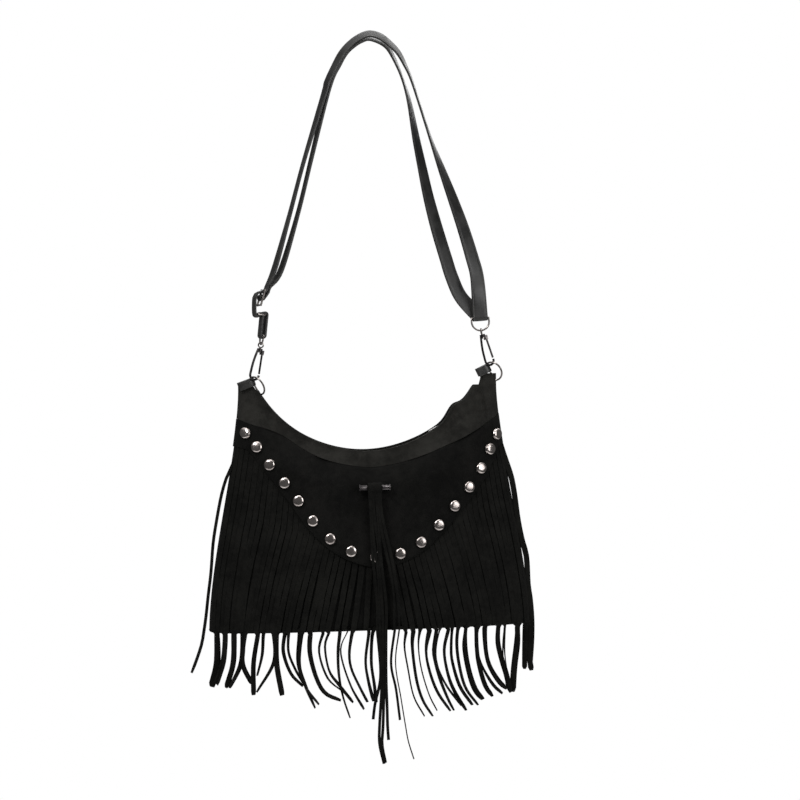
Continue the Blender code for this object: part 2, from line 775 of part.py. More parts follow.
def ear_ring_axes(side):
    """World directions of an ear ring: down its bar, and out to its bow."""
    turn = math.radians(SIDES[side]["ring_turn"])
    flat = -LEGS_WAY
    out = flat * math.cos(turn) + np.array([0.0, 1.0, 0.0]) * math.sin(turn)
    return turned([BAR_DOWN, out])


def ear_ring_path(side):
    middle = to_world(ear_place(side))
    down, out = ear_ring_axes(side)
    radius = EAR_RING_LENGTH / 2
    turn = np.linspace(0, math.pi, 13)[:, None]
    bow = middle + out * (EAR_RING_STRAIGHT + radius * np.sin(turn)) - down * radius * np.cos(turn)
    corner = [middle + down * radius * 0.97 + out * 0.0004, middle + down * radius * 0.5, middle,
              middle - down * radius * 0.5, middle - down * radius * 0.97 + out * 0.0004]
    return np.vstack([bow, corner])


def link_point(side):
    """Where the ear ring hangs in its hook, in world coordinates."""
    middle = to_world(ear_place(side))
    down, out = ear_ring_axes(side)
    radius, turn = EAR_RING_LENGTH / 2, math.radians(SIDES[side]["link"])
    return middle + out * (EAR_RING_STRAIGHT + radius * math.sin(turn)) - down * radius * math.cos(turn)


def hook_axes(side):
    """Directions of a hook: down its length, across towards its gate, and square to both."""
    lean, turn = (math.radians(SIDES[side][k]) for k in ("hook_lean", "hook_turn"))
    down = np.array([math.sin(lean), 0.0, -math.cos(lean)])
    flat = np.array([math.cos(lean), 0.0, math.sin(lean)])
    across = flat * math.cos(turn) + np.array([0.0, 1.0, 0.0]) * math.sin(turn)
    return down, across, np.cross(down, across)


def hook_origin(side):
    """Centre of the eye's hole above a hook, from where the ear ring hangs in it."""
    down = hook_axes(side)[0]
    rest = HOOK_LENGTH + HOOK_HALF_WIDTH - HOOK_WIRE / 2 - WIRE_RADIUS - 0.0006
    return link_point(side) - down * rest


EYE_RADIUS = EYE_HOLE / 2 + EYE_WIRE / 2
COLLAR_TOP = EYE_RADIUS + EYE_WIRE / 2 + LINK_GAP
PIN_DOWN = 0.0082
PIN_ACROSS = 0.0032
BARREL_RADIUS = 0.0013


def eye_axis(side):
    """Direction of the hole through a swivel eye: along the ring wire that passes through it."""
    if side == "left":
        return left_across()
    return unit(right_bar_way())


def ear_parts(metal, leather):
    for side in SIDES:
        points, faces = wire(ear_ring_path(side), WIRE_RADIUS, closed=True)
        solid(f"{side}_ear_ring", points, faces, metal)
        middle = ear_place(side) - BAR_DOWN * (EAR_RING_LENGTH - EAR_TAB_WIDTH) / 2
        middle = middle + BAR_DOWN * 0.0018
        gap, thick = EAR_TAB_OPENING / 2, EAR_TAB_THICK
        fold = middle + LEGS_WAY * (gap - WIRE_RADIUS - LINK_GAP)
        centre = gap + thick / 2
        turn = np.linspace(-math.pi / 2, math.pi / 2, 9)[:, None]
        bend = fold - LEGS_WAY * centre * np.cos(turn) + np.array([0.0, 1.0, 0.0]) * centre * np.sin(turn)
        legs = EAR_TAB_LENGTH - gap
        path = np.vstack([bend[0] + LEGS_WAY * legs, bend, bend[-1] + LEGS_WAY * legs])
        points, faces = ribbon(path, BAR_DOWN, EAR_TAB_WIDTH, thick)
        solid(f"{side}_ear_tab", to_world(points), faces, leather)


def hook_parts(metal, dark):
    for side in SIDES:
        down, across, square = hook_axes(side)
        eye = hook_origin(side)

        def at(a, b, c=0.0):
            return eye + down * a + across * b + square * c

        hole = eye_axis(side)
        ring_side = unit(np.cross(hole, down))
        turn = np.arange(20)[:, None] * 2 * math.pi / 20
        ring = eye + EYE_RADIUS * (np.cos(turn) * ring_side + np.sin(turn) * unit(np.cross(ring_side, hole)))
        made = solid(f"{side}_swivel_eye", *wire(ring, EYE_WIRE / 2, closed=True, sides=8), metal)
        head = COLLAR_TOP + COLLAR_HEIGHT + LINK_GAP
        post = rod(at(EYE_RADIUS, 0), at(head + 0.0006, 0), POST_DIAMETER / 2)
        boolean(made, solid("post", *post, metal), "UNION")
        cap = rod(at(head, 0), at(head + 0.0009, 0), POST_DIAMETER / 2 + 0.0004)
        boolean(made, solid("cap", *cap, metal), "UNION")

        half, low = HOOK_HALF_WIDTH, HOOK_LENGTH
        spine = smooth_path(
            [at(COLLAR_TOP + 0.0018, -0.0021), at(COLLAR_TOP + 0.006, -0.0030),
             at(low * 0.62, -half * 0.92), at(low - 0.001, -half)], 0.004)
        bend = [at(low + half * math.sin(t), -half * math.cos(t)) for t in np.linspace(0.2, 2.94, 9)]
        tip = [at(low - 0.0004, half)]
        path = np.vstack([spine, bend, tip])
        hook = solid(f"{side}_hook", *wire(path, HOOK_WIRE / 2, sides=8), dark)
        collar = tube(at(COLLAR_TOP + COLLAR_HEIGHT / 2, 0), down, POST_DIAMETER / 2 + LINK_GAP,
                      COLLAR_DIAMETER / 2, COLLAR_HEIGHT, 16)
        bore = rod(at(COLLAR_TOP - 0.002, 0), at(head + 0.0018, 0), POST_DIAMETER / 2 + 0.0011)
        boolean(hook, solid("bore", *bore, dark), "DIFFERENCE")
        boolean(hook, solid("collar", *collar, dark), "UNION")
        lug_gap = BARREL_RADIUS + 0.0003
        for sign in (-1, 1):
            reach = PIN_DOWN + 0.0013 - COLLAR_TOP - COLLAR_HEIGHT / 2
            spot = at(COLLAR_TOP + COLLAR_HEIGHT / 2 + reach / 2, PIN_ACROSS - 0.0003,
                      sign * (lug_gap + LUG_THICK / 2))
            lug = block(spot, (down, across, square), (reach, 0.0026, LUG_THICK))
            boolean(hook, solid("lug", *lug, dark, False), "UNION")
        pin_reach = lug_gap + LUG_THICK
        hole_way = rod(at(PIN_DOWN, PIN_ACROSS, -pin_reach - 0.001), at(PIN_DOWN, PIN_ACROSS, pin_reach + 0.001),
                       GATE_PIN_DIAMETER / 2 + 0.00015, 10)
        boolean(hook, solid("pin_hole", *hole_way, dark), "DIFFERENCE")
        pin = rod(at(PIN_DOWN, PIN_ACROSS, -pin_reach), at(PIN_DOWN, PIN_ACROSS, pin_reach),
                  GATE_PIN_DIAMETER / 2, 10)
        solid(f"{side}_gate_rivet", *pin, metal)
        barrel = tube(at(PIN_DOWN, PIN_ACROSS), square, GATE_PIN_DIAMETER / 2 + 0.0002, BARREL_RADIUS,
                      2 * (lug_gap - LINK_GAP), 12)
        gate = solid(f"{side}_gate", *barrel, metal)
        stop = low - 0.0004 - LINK_GAP - 0.0010
        bar = rod(at(PIN_DOWN + 0.0011, PIN_ACROSS + 0.0002), at(stop, half - 0.0001), 0.0010, 10)
        boolean(gate, solid("bar", *bar, metal), "UNION")


# Strap end on the left: slider, upper ring, tab and lower ring, worked out upwards from the hook

LEFT_TWIST = math.radians(14.0)


def left_across():
    """Direction of the strap's width at the left end, towards its front edge."""
    return np.array([math.sin(LEFT_TWIST), -math.cos(LEFT_TWIST), 0.0])


def left_chain():
    """World places of the bars at the strap's left end, from the lowest ring up."""
    eye = hook_origin("left")
    ring_radius = RING_INSIDE / 2 + WIRE_RADIUS
    up = np.array([0.0, 0.0, 1.0])
    right = unit(np.cross(up, left_across()))
    wire_low = eye + up * (EYE_HOLE / 2 - WIRE_RADIUS - LINK_GAP)
    lower_bar = wire_low + right * 0.0012 + up * ring_radius
    upper_ring_right = lower_bar + right * 0.0020 + up * STRAP_TAB_LENGTH
    upper_ring_left = upper_ring_right - right * 0.0073 + up * 0.0006
    slider_low = upper_ring_left + right * 0.0024 + up * 0.0090
    way = unit(right * 0.27 + up * 0.963)
    slider = [slider_low + way * SLIDER_PITCH * n for n in range(3)]
    return {
        "wire_low": wire_low, "lower_bar": lower_bar, "tab_bar": upper_ring_right,
        "strap_bar": upper_ring_left, "slider": slider, "slider_way": way,
    }


def d_ring(name, bar, across, down, depth, metal):
    """A D-shaped ring: a straight bar with a bow that hangs from its ends."""
    half = RING_INSIDE / 2 + WIRE_RADIUS
    turn = np.linspace(0, math.pi, 13)[:, None]
    straight = max(depth - half, 0.0)
    bow = bar + across * half * np.cos(turn) + down * (straight + half * np.sin(turn))
    corners = [bar - across * half * 0.96 + down * 0.0001, bar - across * half * 0.5, bar,
               bar + across * half * 0.5, bar + across * half * 0.96 + down * 0.0001]
    path = np.vstack([bow, corners]) if straight else np.vstack([bow[:-1], bar - across * half * 0.97,
                                                                 bar - across * half * 0.5, bar,
                                                                 bar + across * half * 0.5])
    solid(name, *wire(path, WIRE_RADIUS, closed=True), metal)


def right_bar_way():
    """Direction of the right ring's bar: the line that the bag swings about."""
    left = left_chain()["lower_bar"]
    right = right_bar()
    return unit(right - left)


def right_bar():
    """World place of the right strap ring's bar, above the right hook's eye."""
    eye = hook_origin("right")
    low = eye + np.array([0.0, 0.0, EYE_HOLE / 2 - WIRE_RADIUS - LINK_GAP])
    return low + np.array([-0.0012, 0.0, RIGHT_RING_DEPTH])


def strap_metal(metal, leather):
    chain = left_chain()
    across = left_across()
    down = np.array([0.0, 0.0, -1.0])
    ring_radius = RING_INSIDE / 2 + WIRE_RADIUS
    hang = unit(chain["wire_low"] - chain["lower_bar"])
    d_ring("left_lower_ring", chain["lower_bar"], across, hang, ring_radius, metal)

    half = RING_INSIDE / 2 + WIRE_RADIUS
    a, b = chain["strap_bar"], chain["tab_bar"]
    corners = []
    for bar, sign in ((a, 1), (b, -1)):
        for share in (1.0, 0.5, 0.0, -0.5, -1.0):
            corners.append(bar + across * half * share * sign)
    solid("left_upper_ring", *wire(corners, WIRE_RADIUS, closed=True), metal)

    turn = np.linspace(-math.pi / 2, math.pi / 2, 9)[:, None]
    up = unit(b - chain["lower_bar"])
    flat = unit(np.cross(up, across))
    over = b + LOOP_RADIUS * (np.sin(turn) * flat + np.cos(turn) * up)
    under = chain["lower_bar"] - LOOP_RADIUS * (np.sin(turn) * flat + np.cos(turn) * up)
    path = np.vstack([over, under])
    solid("left_strap_tab", *ribbon(path, across, STRAP_WIDTH, STRAP_THICK, closed=True), leather)

    ring_way = right_bar_way()
    bar = right_bar()
    eye = hook_origin("right")
    low = eye + np.array([0.0, 0.0, EYE_HOLE / 2 - WIRE_RADIUS - LINK_GAP])
    hang = low - bar
    hang = unit(hang - ring_way * (hang @ ring_way))
    d_ring("right_strap_ring", bar, ring_way, hang, RIGHT_RING_DEPTH, metal)

    bars = chain["slider"]
    made = None
    reach = STRAP_WIDTH / 2 + 0.0006 + WIRE_DIAMETER / 2
    for n, spot in enumerate(bars):
        piece = rod(spot - across * reach, spot + across * reach, WIRE_RADIUS)
        part = solid("strap_slider" if n == 0 else "rung", *piece, metal)
        if n == 0:
            made = part
        else:
            boolean(made, part, "UNION")
    for sign in (-1, 1):
        ends = bars[0] - chain["slider_way"] * WIRE_RADIUS, bars[2] + chain["slider_way"] * WIRE_RADIUS
        middle = (ends[0] + ends[1]) / 2 + across * sign * reach
        size = (np.linalg.norm(ends[1] - ends[0]), WIRE_DIAMETER, WIRE_DIAMETER)
        flat = np.cross(chain["slider_way"], across)
        boolean(made, solid("cheek", *block(middle, (chain["slider_way"], across, flat), size),
                            metal, False), "UNION")
    return chain


# Shape of the strap's two layers, as shares of the way from its top to each end:
# share across, share down and the twist in degrees that brings the front edge inwards
OUTER_LEFT = [(0.085, 0.012, 4), (0.165, 0.034, 8), (0.25, 0.068, 11), (0.375, 0.146, 14),
              (0.445, 0.225, 15), (0.63, 0.50, 16), (0.775, 0.722, 16), (0.915, 0.93, 15)]
INNER_LEFT = [(0.085, 0.010, 4), (0.155, 0.030, 8), (0.23, 0.060, 11), (0.30, 0.107, 13),
              (0.405, 0.200, 15), (0.58, 0.475, 16), (0.715, 0.70, 16), (0.885, 0.93, 15)]
OUTER_RIGHT = [(0.17, 0.038, 3), (0.285, 0.088, 2), (0.37, 0.16, 2), (0.46, 0.255, 4),
               (0.572, 0.375, 17), (0.725, 0.53, 48), (0.895, 0.718, 62), (0.982, 0.87, 70)]
INNER_RIGHT = [(0.145, 0.028, 2), (0.215, 0.075, 1), (0.295, 0.148, 1), (0.36, 0.23, 14),
               (0.425, 0.365, 26), (0.50, 0.522, 40), (0.63, 0.715, 58), (0.785, 0.87, 64)]


def facing_way(twist, side):
    """Direction of the strap's width on one arm: its front edge turns in towards the arch."""
    turn = math.radians(twist)
    return (-side * math.sin(turn), -math.cos(turn), 0.0)


def arm(shape, top, end, side):
    """A strap layer's run from its top towards an end, as rows of place and width direction."""
    rows = [(*top, 0.0, -1.0, 0.0)]
    for across, down, twist in shape:
        spot = top + (end - top) * np.array([across, down, down])
        rows.append((*spot, *facing_way(twist, side)))
    return rows


def loop(bar, way, start, stop, steps, first, second, radius=LOOP_RADIUS):
    """Rows round a bar between two angles, from its first direction towards its second."""
    rows = []
    for angle in np.radians(np.linspace(start, stop, steps)):
        spot = bar + radius * (math.cos(angle) * first + math.sin(angle) * second)
        rows.append((*spot, *way))
    return rows


def strap(leather):
    """The long band: sewn round the slider's middle bar, over, round the right ring,
    back over, through the slider and sewn round the left upper ring."""
    chain = left_chain()
    low, middle, high = chain["slider"]
    way, up = left_across(), chain["slider_way"]
    right = unit(np.cross(up, way))
    world_up = np.array([0.0, 0.0, 1.0])
    world_right = unit(np.cross(world_up, way))
    half, layer = STRAP_THICK / 2, STRAP_THICK + LINK_GAP
    inner_top = np.array([0.0, 0.0, half])
    outer_top = np.array([0.0, 0.0, half + STRAP_THICK + STRAP_LAYER_GAP])
    rise = 0.004

    def beside(bar, out, above):
        return (*(bar + right * out + up * above), *way)

    sewn = loop(middle, way, 75, 360, 8, right, up)
    inner_end = beside(high, LOOP_RADIUS + layer + LINK_GAP, rise)
    past = [beside(high, LOOP_RADIUS + layer * 0.55, -1.9 * LOOP_RADIUS),
            beside(high, LOOP_RADIUS + layer, -LOOP_RADIUS * 0.4), inner_end]
    outer_end = beside(high, LOOP_RADIUS, rise)

    bar, bar_way = right_bar(), right_bar_way()
    back = unit(np.cross(bar_way, -world_up))
    back = back * math.copysign(1.0, back[1])
    drop = unit(np.cross(back, bar_way))
    drop = drop * -math.copysign(1.0, drop[2])
    fold = loop(bar, -bar_way, 0, 180, 7, back, drop)
    lift = -drop * 0.007
    enter = (*(bar + back * LOOP_RADIUS + lift), *-bar_way)
    leave = (*(bar - back * LOOP_RADIUS + lift), *-bar_way)

    side = LOOP_RADIUS + layer + half
    ring = chain["strap_bar"]
    through = loop(high, way, 0, -130, 5, right, up)
    through += [beside(middle, -side, 0.0022), beside(middle, -side - 0.0006, -0.002)]
    through += [(*(ring - world_right * (LOOP_RADIUS + 0.0004) + world_up * 0.005), *way)]
    through += loop(ring, way, 180, 405, 8, world_right, world_up)

    rows = sewn + past
    rows += arm(INNER_LEFT, inner_top, np.array(inner_end[:3]), -1)[:0:-1]
    rows += arm(INNER_RIGHT, inner_top, np.array(enter[:3]), 1)
    rows += [enter] + fold + [leave]
    rows += arm(OUTER_RIGHT, outer_top, np.array(leave[:3]), 1)[:0:-1]
    rows += arm(OUTER_LEFT, outer_top, np.array(outer_end[:3]), -1)
    rows += [outer_end] + through
    line = smooth_path(rows, STRAP_STEP)
    solid("strap", *ribbon(line[:, :3], line[:, 3:], STRAP_WIDTH, STRAP_THICK), leather)


STRAP_STEP = 0.012


def main():
    clear_scene()
    suede = material("suede", (0.012, 0.012, 0.011), 0.95)
    facing = material("facing_suede", (0.020, 0.019, 0.017), 0.9)
    leather = material("strap_leather", (0.030, 0.029, 0.028), 0.45)
    cloth = material("lining_cloth", (0.015, 0.015, 0.016), 0.9)
    nickel = material("dark_nickel", (0.30, 0.28, 0.27), 0.25, 1.0)
    gunmetal = material("gunmetal", (0.06, 0.055, 0.055), 0.35, 1.0)
    body_panels(suede)
    base_panel(suede)
    lining(cloth)
    yoke(suede)
    fringe(suede)
    studs(nickel)
    toggle(gunmetal, suede)
    zip_tapes(cloth, cloth)
    zip_slider(nickel)
    ear_parts(nickel, leather)
    hook_parts(nickel, gunmetal)
    strap_metal(nickel, leather)
    strap(leather)
    for name in ("front_facing", "back_facing"):
        bpy.data.objects[name].data.materials[0] = facing


main()
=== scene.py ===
# %% [markdown]
# # A fringed suede shoulder bag
#
# The bag hangs from its doubled strap. The metal links come from the packed
# CAD model, which is loaded as a fixed frame. The soft parts are worked out
# here as surfaces: the body, its facing band, the yoke, the fringe, the
# tassel and the strap. Lengths are in metres, Z is up and the front of the
# bag looks towards -Y.

# %% Load the frame
import math

import bpy
import numpy as np
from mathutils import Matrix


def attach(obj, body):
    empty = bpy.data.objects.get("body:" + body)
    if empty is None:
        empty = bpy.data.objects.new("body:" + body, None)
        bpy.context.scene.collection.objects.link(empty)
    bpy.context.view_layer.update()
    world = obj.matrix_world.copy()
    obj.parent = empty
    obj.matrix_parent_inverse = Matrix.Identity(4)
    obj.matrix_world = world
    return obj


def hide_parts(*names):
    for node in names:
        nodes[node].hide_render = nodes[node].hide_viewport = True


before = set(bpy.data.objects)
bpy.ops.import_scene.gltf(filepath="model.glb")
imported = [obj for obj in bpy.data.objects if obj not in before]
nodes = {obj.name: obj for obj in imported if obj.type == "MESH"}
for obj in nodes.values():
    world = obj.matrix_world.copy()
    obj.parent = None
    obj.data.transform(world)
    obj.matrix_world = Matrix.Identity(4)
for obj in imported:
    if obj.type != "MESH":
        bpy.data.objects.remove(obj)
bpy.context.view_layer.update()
rng = np.random.default_rng(17)
print("CAD nodes:", len(nodes))

# %% [markdown]
# ## Building blocks
#
# A soft piece is a closed sheet: one grid of points for its outer face and
# one for its inner face, joined round the rim. A cord, a band or a wire is a
# profile carried along a path. Both come out of numpy as whole arrays, which
# is faster and steadier than pulling at vertices one by one.

# %% Mesh from arrays
def put_mesh(name, points, faces, finish, body, uv=None, smooth=True):
    """A mesh object from a (n, 3) array of points and a (m, 4) array of corners.

    uv, where given, holds one (along, across) pair per point, in metres.
    """
    points = np.asarray(points, float).reshape(-1, 3)
    faces = np.asarray(faces, int)
    mesh = bpy.data.meshes.new(name)
    mesh.from_pydata(points.tolist(), [], faces.tolist())
    if uv is not None:
        layer = mesh.uv_layers.new(name="UVMap")
        corner = np.empty(len(mesh.loops), int)
        mesh.loops.foreach_get("vertex_index", corner)
        layer.data.foreach_set("uv", np.asarray(uv, float).reshape(-1, 2)[corner].ravel())
    mesh.materials.append(finish)
    mesh.polygons.foreach_set("use_smooth", np.full(len(mesh.polygons), smooth))
    made = bpy.data.objects.new(name, mesh)
    bpy.context.collection.objects.link(made)
    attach(made, body)
    return made


def grid_quads(rows, cols, wrap_rows=False, wrap_cols=False):
    """Corners of the faces of a grid whose points are numbered row by row."""
    i = np.arange(rows if wrap_rows else rows - 1)[:, None]
    j = np.arange(cols if wrap_cols else cols - 1)[None, :]
    up, right = (i + 1) % rows, (j + 1) % cols
    quads = np.stack([i * cols + j, i * cols + right, up * cols + right, up * cols + j], -1)
    return quads.reshape(-1, 4)


def slab(outer, inner):
    """A closed sheet: the two grids become its faces and a strip of faces its rim."""
    rows, cols = outer.shape[:2]
    face = grid_quads(rows, cols)
    far = rows * cols
    edge = np.concatenate([
        np.arange(cols), np.arange(1, rows) * cols + cols - 1,
        (rows - 1) * cols + np.arange(cols - 2, -1, -1), np.arange(rows - 2, 0, -1) * cols,
    ])
    after = np.roll(edge, -1)
    rim = np.stack([edge, far + edge, far + after, after], -1)
    points = np.concatenate([outer.reshape(-1, 3), inner.reshape(-1, 3)])
    return points, np.concatenate([face, face[:, ::-1] + far, rim])


def unit(vector):
    vector = np.asarray(vector, float)
    return vector / np.linalg.norm(vector, axis=-1, keepdims=True)


def sweep(path, side, outline, closed=False):
    """A profile carried along a path.

    At each point the profile's first number goes along side, made square to
    the path, and its second along path direction x side. Ends are capped by
    drawing the profile in to its centre.
    """
    path = np.asarray(path, float)
    if closed:
        along = unit(np.roll(path, -1, 0) - np.roll(path, 1, 0))
    else:
        along = unit(np.gradient(path, axis=0))
    side = np.broadcast_to(side, path.shape)
    side = unit(side - along * np.sum(side * along, -1, keepdims=True))
    normal = np.cross(along, side)
    outline = np.asarray(outline, float)
    rings = (path[:, None] + outline[None, :, :1] * side[:, None]
             + outline[None, :, 1:] * normal[:, None])
    if not closed:
        caps = [rings[0].mean(0), rings[-1].mean(0)]
        first, last = (np.broadcast_to(c, rings[0].shape) for c in caps)
        rings = np.concatenate([first[None], rings, last[None]])
    return rings


def sweep_quads(rings, closed=False):
    return grid_quads(rings.shape[0], rings.shape[1], wrap_rows=closed, wrap_cols=True)


def round_outline(radius, sides=12):
    """Points of a circle, as a profile for a wire."""
    turn = np.arange(sides) * 2 * math.pi / sides
    return np.stack([radius * np.cos(turn), radius * np.sin(turn)], -1)


def flat_outline(width, thick, sides=7, power=5.0):
    """Points of a flat, soft-edged section: |x/a|^p + |y/b|^p = 1."""
    turn = np.arange(4 * sides) * 2 * math.pi / (4 * sides)
    cosine, sine = np.cos(turn), np.sin(turn)
    x = np.sign(cosine) * np.abs(cosine) ** (2 / power) * width / 2
    y = np.sign(sine) * np.abs(sine) ** (2 / power) * thick / 2
    return np.stack([x, y], -1)


def curve_through(rows, step):
    """Rows on a Catmull-Rom curve through given rows, about a step apart."""
    rows = np.asarray(rows, float)
    ends = np.vstack([2 * rows[0] - rows[1], rows, 2 * rows[-1] - rows[-2]])
    found = []
    for n in range(len(rows) - 1):
        a, b, c, d = ends[n:n + 4]
        cuts = max(1, round(float(np.linalg.norm((c - b)[:3])) / step))
        t = np.arange(cuts)[:, None] / cuts
        found.append(0.5 * (2 * b + (c - a) * t + (2 * a - 5 * b + 4 * c - d) * t**2
                            + (3 * b - a - 3 * c + d) * t**3))
    return np.vstack([*found, rows[-1:]])


print("helpers ready")

# %% [markdown]
# ## Camera, light and floor
#
# The photograph is taken level with the middle of the bag from about two
# metres away. The background is plain white, so the floor and the sky are
# white to the camera and to reflections, and the bag is lit by soft lamps.

# %% Camera
VIEW_CENTRE = np.array([0.030, 0.0, -0.359])
CAMERA_DISTANCE = 3.0
camera_data = bpy.data.cameras.new("camera")
camera_data.lens = 135
camera_data.sensor_width = 36
camera = bpy.data.objects.new("camera", camera_data)
bpy.context.collection.objects.link(camera)
camera.location = VIEW_CENTRE - [0, CAMERA_DISTANCE, 0]
camera.rotation_euler = (math.pi / 2, 0, 0)
bpy.context.scene.camera = camera
bpy.context.scene.view_settings.view_transform = "Standard"

# %% Lamps
def soft_lamp(name, place, aim, size, power):
    """A square area lamp that faces a point."""
    data = bpy.data.lights.new(name, "AREA")
    data.size = size
    data.energy = power
    lamp = bpy.data.objects.new(name, data)
    bpy.context.collection.objects.link(lamp)
    lamp.location = place
    look = unit(np.array(aim) - np.array(place))
    flat = math.hypot(look[0], look[1])
    lamp.rotation_euler = (math.atan2(flat, -look[2]), 0,
                           math.atan2(look[1], look[0]) - math.pi / 2)
    return lamp


soft_lamp("key", (-1.1, -1.7, 1.1), (0, 0, -0.35), 1.1, 34)
soft_lamp("fill", (1.5, -1.5, 0.1), (0, 0, -0.4), 1.3, 18)
soft_lamp("top", (0.1, -0.1, 1.5), (0, 0, -0.3), 1.0, 16)
soft_lamp("back", (0.3, 1.8, 0.6), (0, 0, -0.4), 1.4, 16)

# %% White world and floor
BACKGROUND = (1.0, 1.0, 1.0, 1.0)
AMBIENT = 0.34


def white_to_camera(nodes_, links):
    """One where a ray comes from the camera or a reflection, and nothing elsewhere."""
    path = nodes_.new("ShaderNodeLightPath")
    gloss = nodes_.new("ShaderNodeMath")
    gloss.operation = "MAXIMUM"
    links.new(path.outputs["Is Camera Ray"], gloss.inputs[0])
    links.new(path.outputs["Is Transmission Ray"], gloss.inputs[1])
    return gloss.outputs[0], path.outputs["Is Glossy Ray"]


def blend_values(nodes_, links, factor, low, high):
    """Low where the factor is nothing, high where it is one."""
    made = nodes_.new("ShaderNodeMix")
    for label, value in (("Factor", factor), ("A", low), ("B", high)):
        if hasattr(value, "is_linked"):
            links.new(value, made.inputs[label])
        else:
            made.inputs[label].default_value = value
    return made.outputs["Result"]


world = bpy.data.worlds.new("studio")
bpy.context.scene.world = world
world.use_nodes = True
wn, wl = world.node_tree.nodes, world.node_tree.links
direction = wn.new("ShaderNodeTexCoord")
height = wn.new("ShaderNodeSeparateXYZ")
wl.new(direction.outputs["Generated"], height.inputs[0])
steep = wn.new("ShaderNodeMath")
steep.operation = "ABSOLUTE"
wl.new(height.outputs["Z"], steep.inputs[0])
panels = wn.new("ShaderNodeMapRange")
panels.interpolation_type = "SMOOTHSTEP"
for label, number in (("From Min", 0.45), ("From Max", 0.85), ("To Min", 0.10), ("To Max", 1.0)):
    panels.inputs[label].default_value = number
wl.new(steep.outputs[0], panels.inputs["Value"])
camera_ray, glossy_ray = white_to_camera(wn, wl)
unseen = blend_values(wn, wl, glossy_ray, AMBIENT, panels.outputs["Result"])
wn["Background"].inputs["Color"].default_value = BACKGROUND
wl.new(blend_values(wn, wl, camera_ray, unseen, 1.0), wn["Background"].inputs["Strength"])

FLOOR_Z = -1.15
floor_finish = bpy.data.materials.new("pale_floor")
floor_finish.use_nodes = True
fn, fl = floor_finish.node_tree.nodes, floor_finish.node_tree.links
fn["Principled BSDF"].inputs["Base Color"].default_value = (0.9, 0.9, 0.9, 1)
fn["Principled BSDF"].inputs["Roughness"].default_value = 0.9
glow = fn.new("ShaderNodeEmission")
glow.inputs["Color"].default_value = BACKGROUND
glow.inputs["Strength"].default_value = 1.05
floor_mix = fn.new("ShaderNodeMixShader")
floor_camera, floor_glossy = white_to_camera(fn, fl)
floor_seen = fn.new("ShaderNodeMath")
floor_seen.operation = "MAXIMUM"
fl.new(floor_camera, floor_seen.inputs[0])
fl.new(floor_glossy, floor_seen.inputs[1])
keep = fn.new("ShaderNodeMath")
keep.operation = "MULTIPLY"
keep.inputs[1].default_value = 0.9
fl.new(floor_seen.outputs[0], keep.inputs[0])
fl.new(keep.outputs[0], floor_mix.inputs[0])
fl.new(fn["Principled BSDF"].outputs[0], floor_mix.inputs[1])
fl.new(glow.outputs[0], floor_mix.inputs[2])
fl.new(floor_mix.outputs[0], fn["Material Output"].inputs["Surface"])
floor_mesh = bpy.data.meshes.new("floor")
floor_mesh.from_pydata([(-1, -1, FLOOR_Z), (1, -1, FLOOR_Z), (1, 1, FLOOR_Z), (-1, 1, FLOOR_Z)],
                       [], [(0, 1, 2, 3)])
floor_mesh.materials.append(floor_finish)
floor = bpy.data.objects.new("floor", floor_mesh)
bpy.context.collection.objects.link(floor)
print("studio ready")

# %% [markdown]
# ## Shared shader groups
#
# Suede is leather with its flesh side brushed up into a nap. It scatters
# light softly, shows patches where the nap lies another way, and has almost
# no gloss. Strap leather is smooth, with fine pores and a low sheen. Each
# effect is one node group, so every material that needs it takes the same
# group with its own numbers.

# %% Node helpers
def new_group(name, inputs, outputs):
    """An empty shader group with float or vector inputs and named outputs."""
    group = bpy.data.node_groups.new(name, "ShaderNodeTree")
    for label, kind, value in inputs:
        socket = group.interface.new_socket(label, in_out="INPUT", socket_type=kind)
        if kind == "NodeSocketFloat":
            socket.default_value = value
    for label, kind in outputs:
        group.interface.new_socket(label, in_out="OUTPUT", socket_type=kind)
    return group, group.nodes.new("NodeGroupInput"), group.nodes.new("NodeGroupOutput")


def noise(tree, vector, scale, detail=4.0, rough=0.55, stretch=None):
    """A noise texture on a vector, which may be stretched first."""
    if stretch is not None:
        mapping = tree.nodes.new("ShaderNodeMapping")
        mapping.inputs["Scale"].default_value = stretch
        tree.links.new(vector, mapping.inputs["Vector"])
        vector = mapping.outputs["Vector"]
    made = tree.nodes.new("ShaderNodeTexNoise")
    made.inputs["Detail"].default_value = detail
    made.inputs["Roughness"].default_value = rough
    tree.links.new(vector, made.inputs["Vector"])
    if hasattr(scale, "is_linked"):
        tree.links.new(scale, made.inputs["Scale"])
    else:
        made.inputs["Scale"].default_value = scale
    return made.outputs["Fac"]


def calc(tree, operation, *values, clamp=False):
    """A Math node whose inputs are sockets or numbers."""
    made = tree.nodes.new("ShaderNodeMath")
    made.operation = operation
    made.use_clamp = clamp
    for slot, value in enumerate(values):
        if hasattr(value, "is_linked"):
            tree.links.new(value, made.inputs[slot])
        else:
            made.inputs[slot].default_value = value
    return made.outputs[0]


def spread(tree, value, low, high, out_low=0.0, out_high=1.0):
    """Values from low to high become out_low to out_high, with soft ends."""
    made = tree.nodes.new("ShaderNodeMapRange")
    made.interpolation_type = "SMOOTHSTEP"
    tree.links.new(value, made.inputs["Value"])
    for label, number in zip(("From Min", "From Max", "To Min", "To Max"),
                             (low, high, out_low, out_high)):
        made.inputs[label].default_value = number
    return made.outputs["Result"]


